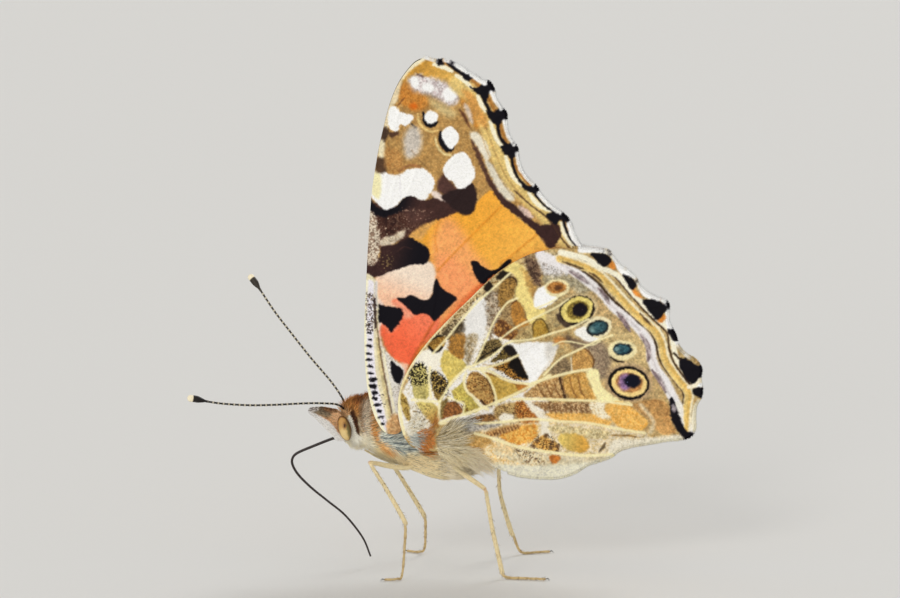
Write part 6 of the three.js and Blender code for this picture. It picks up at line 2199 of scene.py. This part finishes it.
# The line of each leg from the body outwards
FOOT_RISE = 0.145
LEGS = {
    "mid_left": [
        seen(418, 462, -0.3), seen(404, 467, -1.6), seen(373, 461.2, -3.5), seen(371.5, 463, -3.6),
        seen(377, 472, -3.9), seen(386, 486, -4.3), seen(403.5, 516, -5.2), seen(405.5, 524, -5.3),
        seen(405.5, 534, -5.35), low(402.5, -5.5, 0.5), low(397, -5.7, FOOT_RISE),
        low(385, -6, FOOT_RISE),
    ],
    "mid_right": [
        seen(428, 461, 0.9), seen(408, 460.5, 2.4), seen(387.5, 455, 3.5), seen(387, 457.5, 3.6),
        seen(393, 468, 3.9), seen(402, 482, 4.3), seen(421, 514, 5.2), seen(424.5, 522, 5.3),
        seen(425, 530, 5.35), low(424, 5.5, 0.5), low(418, 5.8, FOOT_RISE), low(406, 6.2, FOOT_RISE),
    ],
    "hind_left": [
        seen(448, 462, -0.9), seen(466, 474.5, -2.1), seen(482.8, 486, -2.9), seen(485.6, 489.5, -3),
        seen(487.6, 500, -3.2), seen(492.2, 527, -4), seen(501, 566, -4.95), seen(502.5, 572, -5.1),
        low(508, -5.2, FOOT_RISE), low(520, -5.4, FOOT_RISE), low(533, -5.6, FOOT_RISE),
        low(545, -5.8, FOOT_RISE),
    ],
    "hind_right": [
        seen(450, 460, 0.9), seen(474, 461.5, 2.4), seen(496, 464.5, 3.05), seen(499, 468, 3.1),
        seen(499.5, 478, 3.35), seen(501.5, 498, 3.9), seen(512, 534, 4.8), seen(515, 540, 4.95),
        low(520, 5.1, 0.5), low(526, 5.3, FOOT_RISE), low(539, 5.6, FOOT_RISE),
        low(552, 5.9, FOOT_RISE),
    ],
}
# Places of the lines, counted from 0, where the shin and the foot start
KNEE_PLACE, ANKLE_PLACE = 2.5, 6.5
LEG_STEPS = 10
THIGH_WIDE, SHIN_WIDE, FOOT_WIDE = 0.195, 0.15, 0.115
FOOT_SEGMENTS = 5
FLOOR_GAP = 0.004
LEG_CREAM = np.array((250, 234, 190), float)
LEG_TAN = np.array((226, 200, 146), float)
LEG_DUSK = (160, 130, 90)
KNEE_RUST = (196, 112, 66)
CLAW_COLOUR = 40.0
# Bends of a claw: how far along it and how high
CLAW_BENDS = ((0, 0), (0.6, 0.05), (1, -0.05), (1.1, -0.12))


class Leg:
    """The smooth line of a leg, with how far along it the shin and the foot start."""

    def __init__(self, places):
        self.line = spline(places, LEG_STEPS)
        self.run = lengths(self.line)
        self.knee, self.ankle = (self.run[int(place * LEG_STEPS)] for place in (KNEE_PLACE, ANKLE_PLACE))
        self.total = self.run[-1]

    def segment(self, at):
        """How many segments of the foot end before a place."""
        return np.clip((at - self.ankle) / (self.total - self.ankle), 0, 1) * FOOT_SEGMENTS

    def radius(self, at):
        knee, ankle, segment = self.knee, self.ankle, self.segment(at)
        thigh = THIGH_WIDE * (0.75 + 0.25 * np.sin(np.clip(at / knee, 0, 1) * math.pi))
        shin = SHIN_WIDE * (0.9 + 0.25 * fade(at, knee, ankle))
        foot = FOOT_WIDE * (0.86 + 0.2 * (segment % 1)) * (1 - 0.06 * segment)
        size = thigh + (shin - thigh) * fade(at, knee - 0.15, knee + 0.1)
        size = size - 0.05 * bell(at - knee, 0.09)
        return size + (foot - size) * fade(at, ankle - 0.08, ankle + 0.08)

    def skin(self):
        """A cream thigh, a mottled shin and a tan foot with dusky joints."""
        points, faces, at, uv = tube(self.line, self.radius, 0.05, sides=14)
        points[:, 2] = np.maximum(points[:, 2], FLOOR_GAP)
        shade = 0.5 + 0.5 * lattice_noise(at * 3, uv[:, 0] * 8, 1.0, 91)
        tanned = (0.25 + 0.45 * shade)[:, None]
        colours = LEG_CREAM + (LEG_TAN - LEG_CREAM) * tanned * fade(at, 0, self.knee)[:, None]
        foot = fade(at, self.ankle - 0.1, self.ankle + 0.3)
        segment = self.segment(at)
        joint = bell((segment - np.round(segment)) * 4, 0.5) * foot * 0.6
        colours = mixed(colours, LEG_TAN * 0.92, foot[:, None])
        return points, faces, mixed(colours, LEG_DUSK, joint[:, None]), uv * (0.5, 1)

    def cover(self, rng, count, first, last, length, width, lift, tone):
        """Scales or spines all round a length of the leg, rusty at the knee."""
        at = rng.uniform(first, last, count)
        here, ahead = (at_lengths(at + step, self.run, self.line) for step in (0, 0.03))
        along = unit(ahead - here)
        turn = rng.uniform(0, FULL_TURN, count)[:, None]
        across = unit(np.cross(along, SIDEWAYS))
        normal = across * np.cos(turn) + np.cross(along, across) * np.sin(turn)
        root = here + normal * self.radius(at)[:, None] * 0.96
        keep = root[:, 2] > 0.03
        rust = (bell(at - self.knee, 0.13) * 0.55)[:, None]
        tone = mixed(np.array(tone, float), KNEE_RUST, rust) * rng.normal(1, 0.09, (count, 1))
        uv = np.c_[0.55 + turn / FULL_TURN * 0.4, at / self.total]
        root, along, normal, tone, uv = (part[keep] for part in (root, along, normal, tone, uv))
        along = along + normal * lift * 0.6
        part = locks(root, along, normal, length, width, tone, uv, lift=lift, droop=lift * 0.5)
        part[0][:, 2] = np.maximum(part[0][:, 2], FLOOR_GAP)
        return part

    def claws(self):
        """Two short curved claws at the end of the foot."""
        forward = unit(self.line[-1] - self.line[-4])
        sideways = np.array([-forward[1], forward[0], 0])
        parts = []
        for way in SIDES.values():
            tip = forward * 0.28 + sideways * way * 0.14
            claw = spline([self.line[-1] + tip * reach + (0, 0, rise) for reach, rise in CLAW_BENDS], 5)
            claw[:, 2] = np.maximum(claw[:, 2], 0.02)
            points, faces, _, uv = tube(claw, lambda at: 0.035 * (1 - 0.85 * at / at.max()), 0.03, sides=8)
            parts.append((points, faces, np.full((len(points), 3), CLAW_COLOUR), uv * 0.02 + 0.96))
        return parts


def make_leg(name, places, material):
    leg = Leg(places)
    knee, ankle, toes = leg.knee, leg.ankle, leg.total - 0.1
    rng = np.random.default_rng(sum(map(ord, name)))
    parts = [
        leg.skin(),
        leg.cover(rng, 1500, 0.1, ankle, 0.2, 0.028, 0.16, (248, 234, 194)),
        leg.cover(rng, 420, ankle, toes, 0.12, 0.02, 0.2, (222, 196, 144)),
        leg.cover(rng, 46, knee + 0.3, ankle, 0.26, 0.02, 0.75, (120, 92, 60)),
        leg.cover(rng, 40, ankle, toes, 0.2, 0.018, 0.7, (96, 70, 46)),
        *leg.claws(),
    ]
    pair, side = name.split("_")
    nodes = [f"{pair}_{part}_{side}" for part in ("femur", "tibia", "tarsus")]
    dress("leg_" + name, painted_mesh("leg_" + name, parts), material, "leg", *nodes)


# The short front legs, folded under the thorax, which carry long hair
BRUSH_LEG = [(404, 461), (392, 459.5), (382, 456.5), (374, 453), (367.5, 449.5)]
BRUSH_DEPTH = 0.75
BRUSH_SIDES = 12
BRUSH_HAIRS = 900
BRUSH_HAIR_LENGTH, BRUSH_HAIR_THICK = 0.42, 0.03
BRUSH_SEED = 81
BRUSH_SKIN = (226.0, 208.0, 164.0)
BRUSH_HAIR = (240, 226, 188)


def brush_hair(rng, points, at):
    """Hair on the points of a front leg's tube, along the leg."""
    rings, ring_at = points[:-2].reshape(-1, BRUSH_SIDES, 3), at[:-2:BRUSH_SIDES]
    pick = rng.integers(0, len(points) - 2, BRUSH_HAIRS)
    run = at[pick]
    here, ahead = (at_lengths(run + step, ring_at, rings[:, 0]) for step in (0, 0.05))
    normal = unit(points[pick] - rings.mean(1)[pick // BRUSH_SIDES])
    tone = np.array(BRUSH_HAIR) * rng.normal(1, 0.1, (BRUSH_HAIRS, 1))
    uv = np.c_[0.55 + 0.4 * rng.uniform(0, 1, BRUSH_HAIRS), run / at.max()]
    along = unit(ahead - here + 1e-6)
    return locks(points[pick], along, normal, BRUSH_HAIR_LENGTH, BRUSH_HAIR_THICK, tone, uv, lift=0.25,
                 droop=0.2)


def make_brush_leg(label, side, material):
    line = spline([seen(*place) + (0, side * BRUSH_DEPTH, 0) for place in BRUSH_LEG], LIMB_STEPS)
    points, faces, at, uv = tube(line, lambda run: 0.16 * (1 - 0.75 * run / run.max()), 0.06, BRUSH_SIDES)
    hair = brush_hair(np.random.default_rng(BRUSH_SEED + side), points, at)
    skin = (points, faces, np.full((len(points), 3), BRUSH_SKIN), uv * (0.5, 1))
    mesh = painted_mesh("leg_fore_" + label, [skin, hair])
    dress("leg_fore_" + label, mesh, material, "leg", "fore_leg_" + label)


def make_legs():
    material = grained("leg", 0.06, 0.06, 0.2, Roughness=0.6, Specular_IOR_Level=0.25)
    for name, places in LEGS.items():
        make_leg(name, places, material)
    for label, side in SIDES.items():
        make_brush_leg(label, side, material)


# The eyes

EYE_RINGS, EYE_SIDES = 60, 96
EYE_DEPTH = 1.4
# How far the dome reaches from its pole, in radians
EYE_REACH = (0.02, 0.62 * math.pi)
EYE_RIM = (6.8, 12.7)


def paint_eye(p):
    """Tan with an olive band, a brown rim and a dark spot like a pupil."""
    everywhere = [(330, 410), (362, 410), (362, 448), (330, 448)]
    p.area((214, 179, 110), everywhere)
    p.spot((198, 150, 84), 341.6, 421, 6.5, 6, soft=3)
    p.spot((232, 204, 142), 343.6, 434, 4.4, 6, soft=3)
    olive_band = [(346.4, 416.5), (348.8, 419), (350.8, 427), (351.8, 435), (350.2, 438.5), (348, 433),
        (346.2, 425)]
    p.area((124, 112, 70), olive_band, soft=1.4)
    half_length, half_height = EYE_RIM
    rim = []
    for turn in np.linspace(0, FULL_TURN, 25):
        column = EYE["column"] + half_length * math.cos(turn) + EYE["lean"] * half_height * math.sin(turn)
        rim.append((column, EYE["row"] + half_height * math.sin(turn)))
    p.stroke((112, 72, 34), rim, 2.0, soft=1.1)
    p.spot((150, 106, 58), 344.8, 424.3, 2.4, 3.2, soft=1.8)
    p.spot((34, 20, 12), 344.8, 424.1, 1.15, 1.9, soft=0.7)


def make_eyes():
    angle, turn = rings_of(np.linspace(*EYE_REACH, EYE_RINGS), EYE_SIDES)
    middle = seen(EYE["column"], EYE["row"], -EYE_DEPTH)
    rise = EYE["high"] * np.sin(angle) * np.sin(turn)
    x = middle[0] + EYE["long"] * np.sin(angle) * np.cos(turn) - EYE["lean"] * rise
    y = EYE["base"] + EYE["deep"] * np.cos(angle)
    uv = np.vstack([np.c_[turn / FULL_TURN * MAP_TURN, angle / 2.2], [[0.5, 0.0], [0.5, 0.95]]])
    for label, side in SIDES.items():
        name = "eye_" + label
        places = capped(np.stack([x, side * y, middle[2] + rise], axis=1), EYE_SIDES)
        faces = tube_faces(EYE_RINGS, EYE_SIDES, flip=side < 0)
        mesh = solid_mesh(name, places, faces, linear(colours_at(places, paint_eye)), uv)
        material = grained("facets_" + label, 0.028, 0.08, 0.25, Roughness=0.42, Specular_IOR_Level=0.3)
        dress(name, mesh, material, "eye", name)


make_camera()
make_light()
make_floor()
make_wings()
make_body()
make_coats()
make_eyes()
make_antennae()
make_tongue()
make_legs()
